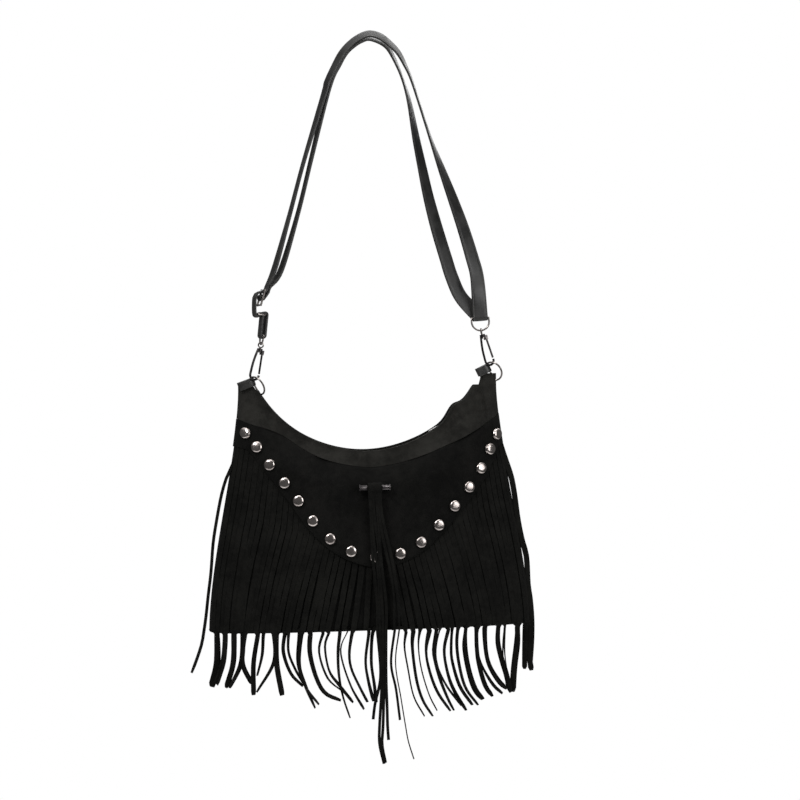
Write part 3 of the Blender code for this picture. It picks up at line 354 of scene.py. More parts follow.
# %% The suede group
def suede_group():
    """Nap: large soft patches, middle-sized smudges and a fine fibre grain."""
    tree, into, out = new_group(
        "suede_nap",
        [("Vector", "NodeSocketVector", None), ("Patch Scale", "NodeSocketFloat", 24.0),
         ("Fibre Scale", "NodeSocketFloat", 1500.0)],
        [("Shade", "NodeSocketFloat"), ("Height", "NodeSocketFloat")],
    )
    vector = into.outputs["Vector"]
    patch = noise(tree, vector, into.outputs["Patch Scale"], 3.0)
    smudge = noise(tree, vector, calc(tree, "MULTIPLY", into.outputs["Patch Scale"], 6.0), 4.0, 0.6)
    fibre = noise(tree, vector, into.outputs["Fibre Scale"], 2.0, 0.7, (1.0, 1.0, 0.45))
    blended = calc(tree, "ADD", calc(tree, "MULTIPLY", patch, 0.45),
                   calc(tree, "ADD", calc(tree, "MULTIPLY", smudge, 0.33),
                        calc(tree, "MULTIPLY", fibre, 0.22)))
    tree.links.new(spread(tree, blended, 0.36, 0.64), out.inputs["Shade"])
    height = calc(tree, "ADD", calc(tree, "MULTIPLY", smudge, 0.4),
                  calc(tree, "MULTIPLY", fibre, 0.6))
    tree.links.new(height, out.inputs["Height"])
    return tree


SUEDE_NAP = suede_group()


# %% The leather, thread, wear and metal groups
def leather_group():
    """Grain: small cells with creases between them, and slow changes of tone."""
    tree, into, out = new_group(
        "leather_grain",
        [("Vector", "NodeSocketVector", None), ("Cell Scale", "NodeSocketFloat", 900.0)],
        [("Tone", "NodeSocketFloat"), ("Height", "NodeSocketFloat")],
    )
    cells = tree.nodes.new("ShaderNodeTexVoronoi")
    cells.feature = "SMOOTH_F1"
    tree.links.new(into.outputs["Vector"], cells.inputs["Vector"])
    tree.links.new(into.outputs["Cell Scale"], cells.inputs["Scale"])
    tone = noise(tree, into.outputs["Vector"], 55.0, 4.0)
    tree.links.new(spread(tree, tone, 0.35, 0.65), out.inputs["Tone"])
    soft = noise(tree, into.outputs["Vector"], 320.0, 3.0)
    tree.links.new(calc(tree, "ADD", cells.outputs["Distance"], calc(tree, "MULTIPLY", soft, 0.5)),
                   out.inputs["Height"])
    return tree


def thread_group():
    """Stitches in a line: dashes along the seam within a narrow stripe across it."""
    tree, into, out = new_group(
        "sewn_thread",
        [("Along", "NodeSocketFloat", 0.0), ("Across", "NodeSocketFloat", 0.0),
         ("Line", "NodeSocketFloat", 0.0062), ("Pitch", "NodeSocketFloat", 0.0032),
         ("Width", "NodeSocketFloat", 0.00035)],
        [("Mask", "NodeSocketFloat")],
    )
    away = calc(tree, "ABSOLUTE", calc(tree, "SUBTRACT", calc(tree, "ABSOLUTE", into.outputs["Across"]),
                                       into.outputs["Line"]))
    stripe = calc(tree, "SUBTRACT", 1.0, calc(tree, "DIVIDE", away, into.outputs["Width"]), clamp=True)
    step = calc(tree, "FRACT", calc(tree, "DIVIDE", into.outputs["Along"], into.outputs["Pitch"]))
    from_middle = calc(tree, "ABSOLUTE", calc(tree, "SUBTRACT", step, 0.5))
    dash = spread(tree, from_middle, 0.30, 0.42, 1.0, 0.0)
    tree.links.new(calc(tree, "MULTIPLY", spread(tree, stripe, 0.1, 0.6), dash), out.inputs["Mask"])
    return tree


def metal_group():
    """Handled metal: cloudy tarnish, and fine hair scratches that catch the light."""
    tree, into, out = new_group(
        "handled_metal",
        [("Vector", "NodeSocketVector", None), ("Cloud Scale", "NodeSocketFloat", 160.0)],
        [("Tarnish", "NodeSocketFloat"), ("Scratch", "NodeSocketFloat")],
    )
    cloud = noise(tree, into.outputs["Vector"], into.outputs["Cloud Scale"], 3.0)
    tree.links.new(spread(tree, cloud, 0.38, 0.66), out.inputs["Tarnish"])
    hair = noise(tree, into.outputs["Vector"], 700.0, 2.0, 0.6, (1.0, 0.12, 1.0))
    tree.links.new(spread(tree, hair, 0.55, 0.7), out.inputs["Scratch"])
    return tree


LEATHER_GRAIN, SEWN_THREAD, HANDLED_METAL = leather_group(), thread_group(), metal_group()
print("groups:", [g.name for g in bpy.data.node_groups])


# %% [markdown]
# ## Finishes
#
# The bag is black all over, so the finishes differ by how they take the
# light: the facing band has a lighter colour than the body, as painted light for
# the light from above it catches when it leans back, the strap has a
# low shine, and the studs are polished nickel with a dark plating.

# %% Material helpers
def blank(name, roughness, metallic=0.0):
    """A material with its node tree, its Principled shader and the Object coordinates."""
    made = bpy.data.materials.new(name)
    made.use_nodes = True
    tree = made.node_tree
    shader = tree.nodes["Principled BSDF"]
    shader.inputs["Roughness"].default_value = roughness
    shader.inputs["Metallic"].default_value = metallic
    place = tree.nodes.new("ShaderNodeTexCoord")
    return made, tree, shader, place


def use_group(tree, group, **values):
    """A group node with its inputs set to numbers or linked to sockets."""
    made = tree.nodes.new("ShaderNodeGroup")
    made.node_tree = group
    for label, value in values.items():
        socket = made.inputs[label.replace("_", " ")]
        if hasattr(value, "is_linked"):
            tree.links.new(value, socket)
        else:
            socket.default_value = value
    return made


def between(tree, factor, dark, light):
    """A colour between two, by a factor."""
    made = tree.nodes.new("ShaderNodeMix")
    made.data_type = "RGBA"
    made.inputs["A"].default_value = (*dark, 1)
    made.inputs["B"].default_value = (*light, 1)
    tree.links.new(factor, made.inputs["Factor"])
    return made.outputs["Result"]


def raise_surface(tree, shader, height, strength, distance):
    """A bump from a height that is in units of the given distance."""
    bump = tree.nodes.new("ShaderNodeBump")
    bump.inputs["Strength"].default_value = strength
    bump.inputs["Distance"].default_value = distance
    tree.links.new(height, bump.inputs["Height"])
    tree.links.new(bump.outputs["Normal"], shader.inputs["Normal"])


# %% Suede finishes
def suede(name, dark, light, patch, sheen=0.25, bump=0.6):
    made, tree, shader, place = blank(name, 0.95)
    nap = use_group(tree, SUEDE_NAP, Vector=place.outputs["Object"], Patch_Scale=patch,
                    Fibre_Scale=1500.0)
    tree.links.new(between(tree, nap.outputs["Shade"], dark, light), shader.inputs["Base Color"])
    shader.inputs["Specular IOR Level"].default_value = 0.06
    shader.inputs["Sheen Weight"].default_value = sheen
    shader.inputs["Sheen Roughness"].default_value = 0.6
    shader.inputs["Sheen Tint"].default_value = (0.45, 0.44, 0.41, 1)
    raise_surface(tree, shader, nap.outputs["Height"], bump, 0.0008)
    return made


BODY_SUEDE = suede("body_suede", (0.0028, 0.0028, 0.0026), (0.0072, 0.0070, 0.0064), 20.0, 0.02)
YOKE_SUEDE = suede("yoke_suede", (0.0026, 0.0026, 0.0024), (0.0068, 0.0066, 0.0060), 26.0, 0.02)
# The facing band's lighter colours are painted light: the band leans back towards the mouth and catches more
# light from above.
FACING_SUEDE_PAINTED_LIGHT = suede("facing_suede", (0.0070, 0.0068, 0.0060), (0.0195, 0.0188, 0.0168), 22.0, 0.04)
FRINGE_SUEDE = suede("fringe_suede", (0.0030, 0.0030, 0.0027), (0.0078, 0.0077, 0.0068), 34.0, 0.02)

# %% Strap leather, lining cloth and metals
def strap_leather():
    made, tree, shader, place = blank("strap_leather", 0.42)
    grain = use_group(tree, LEATHER_GRAIN, Vector=place.outputs["Object"], Cell_Scale=1100.0)
    split = tree.nodes.new("ShaderNodeSeparateXYZ")
    tree.links.new(place.outputs["UV"], split.inputs[0])
    thread = use_group(tree, SEWN_THREAD, Along=split.outputs["X"], Across=split.outputs["Y"],
                       Line=0.0060, Pitch=0.0034, Width=0.00042)
    tone = between(tree, grain.outputs["Tone"], (0.010, 0.010, 0.0095), (0.020, 0.0195, 0.0185))
    sewn = tree.nodes.new("ShaderNodeMix")
    sewn.data_type = "RGBA"
    sewn.inputs["B"].default_value = (0.055, 0.053, 0.050, 1)
    tree.links.new(thread.outputs["Mask"], sewn.inputs["Factor"])
    tree.links.new(tone, sewn.inputs["A"])
    tree.links.new(sewn.outputs["Result"], shader.inputs["Base Color"])
    tree.links.new(spread(tree, grain.outputs["Tone"], 0.0, 1.0, 0.36, 0.48),
                   shader.inputs["Roughness"])
    height = calc(tree, "ADD", calc(tree, "MULTIPLY", grain.outputs["Height"], 0.35),
                  calc(tree, "MULTIPLY", thread.outputs["Mask"], 1.2))
    raise_surface(tree, shader, height, 0.5, 0.0003)
    return made


def cloth(name, dark, light, pitch):
    """Plain weave: two sets of waves at right angles, with a little fuzz."""
    made, tree, shader, place = blank(name, 0.9)
    split = tree.nodes.new("ShaderNodeSeparateXYZ")
    tree.links.new(place.outputs["Object"], split.inputs[0])
    rate = 2 * math.pi / pitch
    warp = calc(tree, "SINE", calc(tree, "MULTIPLY", split.outputs["X"], rate))
    weft = calc(tree, "SINE", calc(tree, "MULTIPLY", split.outputs["Z"], rate))
    weave = calc(tree, "MULTIPLY", calc(tree, "ADD", calc(tree, "MULTIPLY", warp, weft), 1.0), 0.5)
    tree.links.new(between(tree, weave, dark, light), shader.inputs["Base Color"])
    raise_surface(tree, shader, weave, 0.5, 0.0003)
    return made


def metal(name, dark, light, rough_low, rough_high):
    made, tree, shader, place = blank(name, rough_low, 1.0)
    marks = use_group(tree, HANDLED_METAL, Vector=place.outputs["Object"], Cloud_Scale=160.0)
    tree.links.new(between(tree, marks.outputs["Tarnish"], dark, light), shader.inputs["Base Color"])
    rough = calc(tree, "ADD", spread(tree, marks.outputs["Tarnish"], 0.0, 1.0, rough_high, rough_low),
                 calc(tree, "MULTIPLY", marks.outputs["Scratch"], 0.08))
    tree.links.new(rough, shader.inputs["Roughness"])
    raise_surface(tree, shader, marks.outputs["Scratch"], 0.08, 0.0002)
    return made


STRAP_LEATHER = strap_leather()
LINING_CLOTH = cloth("lining_cloth", (0.006, 0.006, 0.0065), (0.014, 0.014, 0.015), 0.0006)
ZIP_CLOTH = cloth("zip_cloth", (0.008, 0.008, 0.008), (0.020, 0.020, 0.020), 0.0008)
DARK_NICKEL = metal("dark_nickel", (0.16, 0.145, 0.14), (0.36, 0.33, 0.31), 0.16, 0.34)
STUD_NICKEL = metal("stud_nickel", (0.34, 0.305, 0.29), (0.60, 0.545, 0.515), 0.12, 0.24)
GUNMETAL = metal("gunmetal", (0.035, 0.032, 0.033), (0.10, 0.092, 0.092), 0.24, 0.42)
TEETH = blank("zip_teeth", 0.4)[0]
print("finishes:", len(bpy.data.materials))

# %% [markdown]
# ## The bag's own frame
#
# The bag hangs a little turned and tilted. Its shape is worked out upright,
# with x across, y to the back and z up from the base, and each point is then
# turned, tilted and lowered to its place. Soft suede also leans a little to
# one side, while the rings and the zip's slider keep the place they have in
# the CAD, so pieces that touch them are placed without the lean.

# %% Place of the bag
BASE_DROP, EAR_HEIGHT = 0.584, 0.238
TURN, TILT, PITCH = (math.radians(a) for a in (6.5, 1.4, 2.2))
SHIFT_X, SHIFT_Y = 0.001, 0.003
LEAN_X = 0.0105          # metres across for each metre of height


def to_world(points):
    """Lean by x + share * z, pitch about the ears, turn about Z, tilt about Y, then lower."""
    points = np.asarray(points, float)
    x, y, z = points[..., 0] + LEAN_X * points[..., 2], points[..., 1], points[..., 2] - EAR_HEIGHT
    y, z = y * math.cos(PITCH) - z * math.sin(PITCH), y * math.sin(PITCH) + z * math.cos(PITCH)
    z = z + EAR_HEIGHT
    x, y = x * math.cos(TURN) - y * math.sin(TURN), x * math.sin(TURN) + y * math.cos(TURN)
    x, z = x * math.cos(TILT) - z * math.sin(TILT), x * math.sin(TILT) + z * math.cos(TILT)
    return np.stack([x + SHIFT_X, y + SHIFT_Y, z - BASE_DROP], -1)


def with_hardware(points):
    """The bag's place without its lean, where the rings and the zip's slider are."""
    points = np.array(points, float)
    points[..., 0] -= LEAN_X * points[..., 2] + SHIFT_X
    return to_world(points)


# %% The body's surface
BASE_WIDTH, TOP_WIDTH, BODY_DEPTH = 0.3225, 0.258, 0.082
EAR_EDGE_DEPTH, MOUTH_HALF_GAP = 0.0025, 0.017
MOUTH_HEIGHT, MOUTH_RADIUS, MOUTH_SHIFT = 0.177, 0.128, -0.002
# Soft changes to the mouth's arc and to the seam: height, centre across, width
MOUTH_SAG, MOUTH_BUMP = (-0.002, 0.0, 0.045), (0.007, 0.0852, 0.008)
SEAM_FOLD = (0.0085, -0.089, 0.027)
LEFT_TONGUE_RISE, RIGHT_TONGUE_RISE, TONGUE_WIDTH = 0.004, 0.011, 0.0125
SEAM_HEIGHT, SEAM_RISE, SEAM_POWER = 0.159, 0.0500, 1.6
YOKE_HEIGHT, YOKE_RISE = 0.061, 0.126
# Lower edge of the yoke: shares of half the top's width and of the rise
YOKE_CURVE = [
    (-1.12, 0.97), (-0.998, 0.955), (-0.918, 0.912), (-0.825, 0.779), (-0.717, 0.634),
    (-0.618, 0.493), (-0.51, 0.33), (-0.372, 0.176), (-0.20, 0.062), (0.01, 0.0), (0.222, 0.032),
    (0.398, 0.125), (0.55, 0.264), (0.679, 0.411), (0.797, 0.561), (0.901, 0.70), (0.96, 0.824),
    (1.005, 0.92), (1.12, 0.96),
]
FRONT, BACK = -1, 1


def ease(t):
    t = np.clip(t, 0, 1)
    return t * t * (3 - 2 * t)


def soft_hump(x, height, centre, width):
    """height * exp(-((x - centre) / width)^2)"""
    return height * np.exp(-((x - centre) / width) ** 2)


def half_width(z):
    share = 1 - (1 - np.clip(z / EAR_HEIGHT, 0, 1) ** 1.6) ** 1.65
    return BASE_WIDTH / 2 - (BASE_WIDTH - TOP_WIDTH) / 2 * share


def mouth_z(x):
    """The mouth is an arc of a circle: z = bottom + R - sqrt(R^2 - x^2).

    It sags a little more in the middle, and stands up in a soft bump near the right ear.
    """
    reach = np.minimum(np.abs(x - MOUTH_SHIFT), MOUTH_RADIUS * 0.98)
    arc = MOUTH_HEIGHT + MOUTH_RADIUS - np.sqrt(MOUTH_RADIUS**2 - reach**2)
    return arc + soft_hump(x, *MOUTH_SAG) + soft_hump(x, *MOUTH_BUMP)


def top_z(x):
    tongue = TOP_WIDTH / 2 - TONGUE_WIDTH
    rise = np.where(x < 0, LEFT_TONGUE_RISE, RIGHT_TONGUE_RISE)
    share = ease((np.abs(x) - tongue + 0.003) / 0.003)
    arc = np.minimum(mouth_z(x), EAR_HEIGHT)
    return arc + (EAR_HEIGHT + rise - arc) * share


def seam_z(x):
    """Under the facing band: a rising curve, with a low bump where the band is folded."""
    rise = SEAM_RISE * (np.abs(x) / (TOP_WIDTH / 2)) ** SEAM_POWER
    return SEAM_HEIGHT + rise + soft_hump(x, *SEAM_FOLD)


def curve_z(x, curve, low, rise):
    """Heights on a smooth curve through its shares."""
    line = curve_through([(*share, 0.0) for share in curve], 0.02)
    return low + rise * np.interp(np.asarray(x) / (TOP_WIDTH / 2), line[:, 0], line[:, 1])


def yoke_z(x):
    return curve_z(x, YOKE_CURVE, YOKE_HEIGHT, YOKE_RISE)


def body(theta, z, side, out=0.0, out_x=None):
    """A point of the body at a column angle and a height, set out from the skin.

    Each level is a superellipse, |x/a|^n + |y/b|^n = 1. It is fullest at the
    base, and its depth b closes to the mouth's half gap at the top edge.
    """
    theta, z = np.broadcast_arrays(np.asarray(theta, float), np.asarray(z, float))
    z_top = top_z(TOP_WIDTH / 2 * np.cos(theta))
    v = np.clip(z / z_top, 0, 1)
    full = BODY_DEPTH / 2 * (1 - 0.15 * v**2)
    mouth = EAR_EDGE_DEPTH + (MOUTH_HALF_GAP - EAR_EDGE_DEPTH) * np.sin(theta) ** 2.8
    blend = ease((v - 0.78) / 0.22)
    depth = full * (1 - blend) + mouth * blend
    power = 2.0 / (2.0 + 0.8 * (1 - np.clip(v / 0.5, 0, 1)))
    cosine, sine = np.cos(theta), np.maximum(np.sin(theta), 0)
    out_x = out if out_x is None else out_x
    x = (half_width(np.maximum(z, 0)) + out_x) * np.sign(cosine) * np.abs(cosine) ** power
    y = side * (0.00015 + (depth + out) * sine**power)
    return np.stack([x, y, z], -1)


def angle_at(x, z):
    """The column angle at which the body's front is at x, at a height."""
    v = np.clip(np.asarray(z) / MOUTH_HEIGHT, 0, 1)
    power = 2.0 / (2.0 + 0.8 * (1 - np.clip(v / 0.5, 0, 1)))
    share = np.clip(np.abs(x) / half_width(z), 0, 1) ** (1 / power)
    return np.arccos(np.sign(x) * share)


def yoke_angle_z(theta):
    z = np.full(np.shape(theta), YOKE_HEIGHT)
    for _ in range(12):
        z = 0.5 * z + 0.5 * yoke_z(body(theta, z, FRONT)[..., 0])
    return z


def front_frame(x, z, out):
    """A place on the front with its outward, sideways and upward directions."""
    step = 0.001
    here = body(angle_at(x, z), z, FRONT, out)
    along = unit(body(angle_at(x + step, z), z, FRONT, out) - here)
    up = unit(body(angle_at(x, z + step), z + step, FRONT, out) - here)
    return here, unit(np.cross(along, up)), along, up


print("bag is", BASE_WIDTH, "m wide at its base")

# %% [markdown]
# ## Wrinkles
#
# Soft suede never hangs flat. A wrinkle is a long narrow ridge, a Gaussian
# across and a wider one along, and several of them with some slow waves make
# the slouch. They push the skin outwards or inwards by a millimetre or two.

# %% Wrinkle fields
def ridge(x, z, centre, angle, length, width, height):
    """height * exp(-(u/length)^2 - (v/width)^2), with u along the ridge and v across it."""
    turn = math.radians(angle)
    u = (x - centre[0]) * math.cos(turn) + (z - centre[1]) * math.sin(turn)
    v = -(x - centre[0]) * math.sin(turn) + (z - centre[1]) * math.cos(turn)
    return height * np.exp(-(u / length) ** 2 - (v / width) ** 2)


def slow_waves(x, z, count, size, height, seed):
    """A sum of plane waves with random directions, for an uneven surface."""
    draw = np.random.default_rng(seed)
    total = 0.0
    for _ in range(count):
        way, start = draw.uniform(0, 2 * math.pi, 2)
        rate = 2 * math.pi / (size * draw.uniform(0.6, 1.6))
        total = total + np.sin((x * math.cos(way) + z * math.sin(way)) * rate + start)
    return height * total / math.sqrt(count)


FACING_RIDGES = [
    ((-0.083, 0.172), -35, 0.030, 0.0055, 0.0030),
    ((-0.062, 0.163), -28, 0.022, 0.0050, -0.0022),
    ((-0.050, 0.169), 4, 0.016, 0.0040, 0.0024),
    ((-0.096, 0.196), -52, 0.022, 0.0060, 0.0020),
    ((0.060, 0.168), 18, 0.028, 0.0060, 0.0018),
    ((0.094, 0.186), 40, 0.026, 0.0060, 0.0022),
    ((0.000, 0.170), 0, 0.030, 0.0045, 0.0012),
]


def facing_wrinkles(x, z):
    total = slow_waves(x, z, 7, 0.045, 0.0005, 3)
    for centre, angle, length, width, height in FACING_RIDGES:
        total = total + ridge(x, z, centre, angle, length, width, height)
    return total


def back_wrinkles(x, z):
    total = slow_waves(x, z, 9, 0.11, 0.0011, 8)
    total = total + ridge(x, z, (-0.09, 0.15), -40, 0.05, 0.010, 0.003)
    total = total + ridge(x, z, (0.08, 0.14), 38, 0.06, 0.011, 0.003)
    total = total + ridge(x, z, (0.02, 0.03), 6, 0.12, 0.012, 0.002)
    return total


# %% [markdown]
# ## Body, facing band and yoke
#
# The body is a front and a back panel sewn up the sides. A facing band is
# sewn on along the mouth, and on the front the yoke lies over the fringe's
# cut edge. Each is a closed sheet that follows the body's surface.

# %% Panels
COLUMNS, THETA = 141, np.linspace(math.pi, 0, 141)
PANEL_THICK, YOKE_THICK = 0.0015, 0.0012
FRINGE_STAND, FRINGE_THICK, SEAM_GAP = 0.0007, 0.0010, 0.0003
YOKE_BACK = FRINGE_STAND + FRINGE_THICK + SEAM_GAP
YOKE_FACE = YOKE_BACK + YOKE_THICK


def shell_between(low, high, rows, side, out, inner, bulge, name, finish, old, out_x=0.0):
    """A sheet of the body between two heights, pushed out by a wrinkle field."""
    z = low + (high - low) * np.linspace(0, 1, rows)[:, None]
    theta = np.broadcast_to(THETA, z.shape)
    x = body(theta, z, side)[..., 0]
    fade = np.minimum(1, np.sin(theta) * 2.2)
    wave = bulge(x, z) * fade
    outer = body(theta, z, side, out + wave, out_x + wave * 0.3)
    under = body(theta, z, side, -inner + wave, -inner + wave * 0.3)
    points, faces = slab(to_world(outer), to_world(under))
    made = put_mesh(name, points, faces, finish, "bag")
    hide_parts(old)
    return made


seam_line = seam_z(TOP_WIDTH / 2 * np.cos(THETA))
top_line = top_z(TOP_WIDTH / 2 * np.cos(THETA))
floor_line = np.full(COLUMNS, SEAM_GAP)


def flat(x, z):
    return 0 * x


shell_between(floor_line, seam_line - SEAM_GAP, 40, FRONT, 0.0, PANEL_THICK, flat,
              "front_body", BODY_SUEDE, "front_panel")
shell_between(floor_line, seam_line - SEAM_GAP, 60, BACK, 0.0, PANEL_THICK, back_wrinkles,
              "back_body", BODY_SUEDE, "back_panel")
# The facing bands take the suede with painted light, lighter than the body's.
shell_between(seam_line, top_line, 44, FRONT, YOKE_FACE, PANEL_THICK, facing_wrinkles,
              "front_facing_band", FACING_SUEDE_PAINTED_LIGHT, "front_facing", 0.0009)
shell_between(seam_line, top_line, 36, BACK, YOKE_THICK, PANEL_THICK,
              lambda x, z: facing_wrinkles(-x, z) * 0.8, "back_facing_band", FACING_SUEDE_PAINTED_LIGHT,
              "back_facing")

# %% Yoke
yoke_low = yoke_angle_z(THETA)
yoke_high = seam_line - SEAM_GAP
z = yoke_low + (yoke_high - yoke_low) * np.linspace(0, 1, 40)[:, None]
theta = np.broadcast_to(THETA, z.shape)
x = body(theta, z, FRONT)[..., 0]
wave = slow_waves(x, z, 8, 0.05, 0.00035, 5) * np.minimum(1, np.sin(theta) * 2)
wave = np.maximum(wave, -0.0002)
points, faces = slab(to_world(body(theta, z, FRONT, YOKE_FACE + wave, 0.0012)),
                     to_world(body(theta, z, FRONT, YOKE_BACK, 0.0006)))
yoke_piece = put_mesh("yoke", points, faces, YOKE_SUEDE, "bag")
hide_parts("front_yoke")

# %% Base
turn = np.linspace(0, 2 * math.pi, 160, endpoint=False)
power = 2.0 / 2.8
base_x = np.sign(np.cos(turn)) * np.abs(np.cos(turn)) ** power
base_y = np.sign(np.sin(turn)) * np.abs(np.sin(turn)) ** power
rings = []
for inset, height in ((1.0, 0.0), (0.0, 0.0), (-0.0004, -0.0006), (0.0, -0.0016),
                      (0.0006, -0.0020), (1.0, -0.0020)):
    wide, deep = BASE_WIDTH / 2 - inset, BODY_DEPTH / 2 - inset
    wide, deep = (0.0, 0.0) if inset == 1.0 else (wide, deep)
    rings.append(np.stack([wide * base_x, deep * base_y, np.full(160, height)], -1))
rings = to_world(np.array(rings))
base_piece = put_mesh("base", rings, sweep_quads(rings)[:, ::-1], BODY_SUEDE, "bag")
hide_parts("base_panel")
print("body pieces done")

# %% [markdown]
# ## Lining
#
# Inside is a loose cloth pouch, open at the mouth. It stands a few
# millimetres inside the suede and closes at the bottom.

# %% Lining pouch
LINING_INSET = 0.0022
fold = np.concatenate([np.linspace(math.pi, 0, 71), np.linspace(0, math.pi, 71)[1:-1]])
face = np.concatenate([np.full(71, FRONT), np.full(69, BACK)])
lining_top = seam_z(TOP_WIDTH / 2 * np.cos(fold)) - SEAM_GAP
share = np.linspace(0, 1, 26)[:, None]
z = SEAM_GAP + (lining_top - SEAM_GAP) * share
skin = body(np.broadcast_to(fold, z.shape), z, np.broadcast_to(face, z.shape), -LINING_INSET)
hollow = body(np.broadcast_to(fold, z.shape), z + 0.0006 * (1 - share),
              np.broadcast_to(face, z.shape), -LINING_INSET - 0.0006)
centre = skin[0].mean(0)
floor_out = np.broadcast_to(centre, skin[:1].shape)
floor_in = floor_out + [0, 0, 0.0006]
rings = to_world(np.concatenate([floor_out, skin, hollow[::-1], floor_in]))
pouch = put_mesh("lining_pouch", rings, sweep_quads(rings)[:, ::-1], LINING_CLOTH, "bag")
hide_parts("lining")

# %% [markdown]
# ## Fringe
#
# The fringe is one piece of suede cut into narrow strips, sewn in under the
# yoke. Each strip lies on the body down to the base and hangs free below it,
# where it twists, bends a little and gathers with its neighbours. A strip is
# a rectangle carried along its own path, and all strips are one array.

# %% Where the strips start and end
STRIPS, CUT = 54, 0.0004
angle = np.linspace(math.pi * 0.985, math.pi * 0.015, 400)
line = body(angle, np.full(400, EAR_HEIGHT * 0.35), FRONT)
run = np.concatenate([[0], np.cumsum(np.linalg.norm(np.diff(line, axis=0), axis=1))])
pitch = run[-1] / STRIPS
middle_angle = np.interp((np.arange(STRIPS) + 0.5) * pitch, run, angle)
STRIP_WIDTH = pitch - CUT

# How the free ends hang, seen from the front: places across and down from the strap's top and
# the width that shows there, in millimetres. Neighbouring strips cling to the same course.
COURSES = [
    [(-152.7, -593.4, 3), (-153, -622, 2.5), (-158.5, -645, 2)],
    [(-144.5, -593.2, 5.5), (-145.7, -619, 4.5), (-152.5, -643, 3)],
    [(-135.8, -593, 5.7), (-137, -622, 5.5), (-144, -647, 4.5)],
    [(-127, -592.8, 5.5), (-128.6, -622, 4), (-140, -647, 1.5)],
    [(-125, -592.7, 4), (-128, -621, 3.5), (-119, -642, 3)],
    [(-112, -592.4, 4), (-116, -622, 4), (-116, -654, 4.5)],
    [(-106.4, -592.3, 3), (-108, -614, 2), (-113, -635, 1)],
    [(-96.5, -592, 4), (-96, -622, 3), (-113, -652, 1.5)],
    [(-93.5, -592, 4.5), (-94, -622, 5), (-88.5, -654.5, 5)],
    [(-85, -591.8, 3.5), (-87.5, -611, 2.6), (-80, -633, 1.8), (-68, -646, 1)],
    [(-81.5, -591.7, 3), (-81, -611, 1.6), (-74, -629, 1.2), (-66, -643, 0.9)],
    [(-70, -591.4, 5.5), (-72.2, -622, 3.6), (-65, -646, 2.4), (-55.5, -668, 1)],
    [(-68, -591.3, 3), (-70.5, -623, 2.4), (-64, -647, 1.6), (-51, -664.6, 0.9)],
    [(-59.5, -591.1, 4.5), (-60.3, -611, 3.6), (-54, -636, 3), (-45, -652, 2.6), (-29.6, -659.4, 1.2)],
    [(-46.5, -590.8, 2.6), (-50.8, -611, 1.2), (-42.2, -638, 1.6), (-27.3, -651.5, 1.4), (-18, -661, 1)],
    [(-40.6, -590.7, 3.2), (-44.2, -605, 1.7), (-40, -630, 1.4), (-29.6, -645, 2), (-16, -662.3, 2)],
    [(-30.2, -590.4, 3.2), (-32, -611, 2), (-31.3, -634, 1.6), (-27.3, -656.6, 1), (-20, -679, 0.8)],
    [(-22.2, -590.3, 1.3), (-29, -611, 1.2), (-19.3, -645, 1.3), (-5.5, -670, 2.2)],
    [(-17.5, -590.1, 3), (-21.2, -611, 1.5), (-19.3, -628, 1.4), (-10, -648.5, 1.6), (-3, -662, 2)],
    [(-10.7, -590, 3), (-14.4, -611, 1.7), (-13.5, -628, 1.6), (-8, -648.5, 2), (-0.5, -663, 2.4)],
    [(-1, -589.7, 2.6), (-5, -620, 1.3), (-2.4, -640.6, 1.8), (3, -662, 3)],
    [(3.4, -589.6, 2.8), (1, -620, 1.8), (4, -644, 2), (6, -662, 3)],
    [(36.2, -588.9, 3), (34.2, -606, 1.5), (37.8, -629, 1.2), (43.6, -657, 1), (54.4, -677, 0.8)],
    [(43.8, -588.7, 4.4), (42, -606, 1.8), (46, -639, 1.6), (52.5, -661, 1.6), (62.7, -677.6, 1.4)],
    [(50.6, -588.5, 4), (48.2, -606, 1.5), (51, -630, 1.1), (59, -657, 0.9), (67, -673, 0.8)],
    [(60.1, -588.3, 5), (56.6, -610, 1.3), (59.5, -630, 1.4), (67.8, -653, 1.8), (81.2, -673, 1.6)],
    [(67, -588.1, 3), (64.6, -610, 2.4), (66.5, -623, 2.6), (71.6, -642, 2), (79.3, -661, 1.4),
     (85, -672, 1.2)],
    [(70.5, -588, 2), (66, -610, 1.8), (68, -628, 1.6), (76.7, -647, 2), (87, -661, 2.2),
     (92, -667.4, 2)],
    [(79.3, -587.8, 2.5), (74.7, -610, 1), (78, -633, 1.2), (84.4, -651, 2), (97, -672, 1.8)],
    [(82.6, -587.7, 1.5), (80.7, -607, 1), (81.8, -623, 1.3), (89.5, -648.3, 2.2), (102.2, -667.4, 2)],
    [(88.5, -587.6, 2), (87, -604, 1.3), (89.5, -625.3, 1.2), (95.9, -648.3, 1.2), (108.6, -666, 1)],
    [(96.5, -587.4, 1.8), (95, -607, 2.2), (98.4, -629, 2.4), (104.8, -649.6, 3.2), (113, -661, 3)],
    [(106.7, -587.2, 2.6), (106.4, -607, 2.2), (108.6, -625, 2.8), (115, -647, 3.4), (122.6, -658.5, 3)],
    [(109.6, -587.1, 2), (108.2, -604, 1.8), (112.4, -625, 2.4), (124, -645.7, 3.6), (134, -655.3, 3.4)],
    [(115.6, -587, 4), (116.2, -610, 2.2), (120, -626.6, 2.6), (129, -642, 3.6), (136.7, -650, 3)],
    [(129.3, -586.6, 2.2), (129.4, -604, 3), (134, -623, 4), (138, -636, 4.5), (141.8, -653.4, 4)],
    [(136, -586.5, 1.6), (135, -610, 2), (137, -629, 3), (139.5, -649, 4)],
    [(148.7, -586.2, 2.5), (148, -604, 2.8), (145, -630, 4.4), (143.7, -653.4, 4)],
    [(156.5, -586, 4.4), (156, -604, 4), (155.8, -630.4, 3)],
    [(160.3, -585.9, 4), (160.5, -609, 3.6), (164, -633, 3.2)],
]


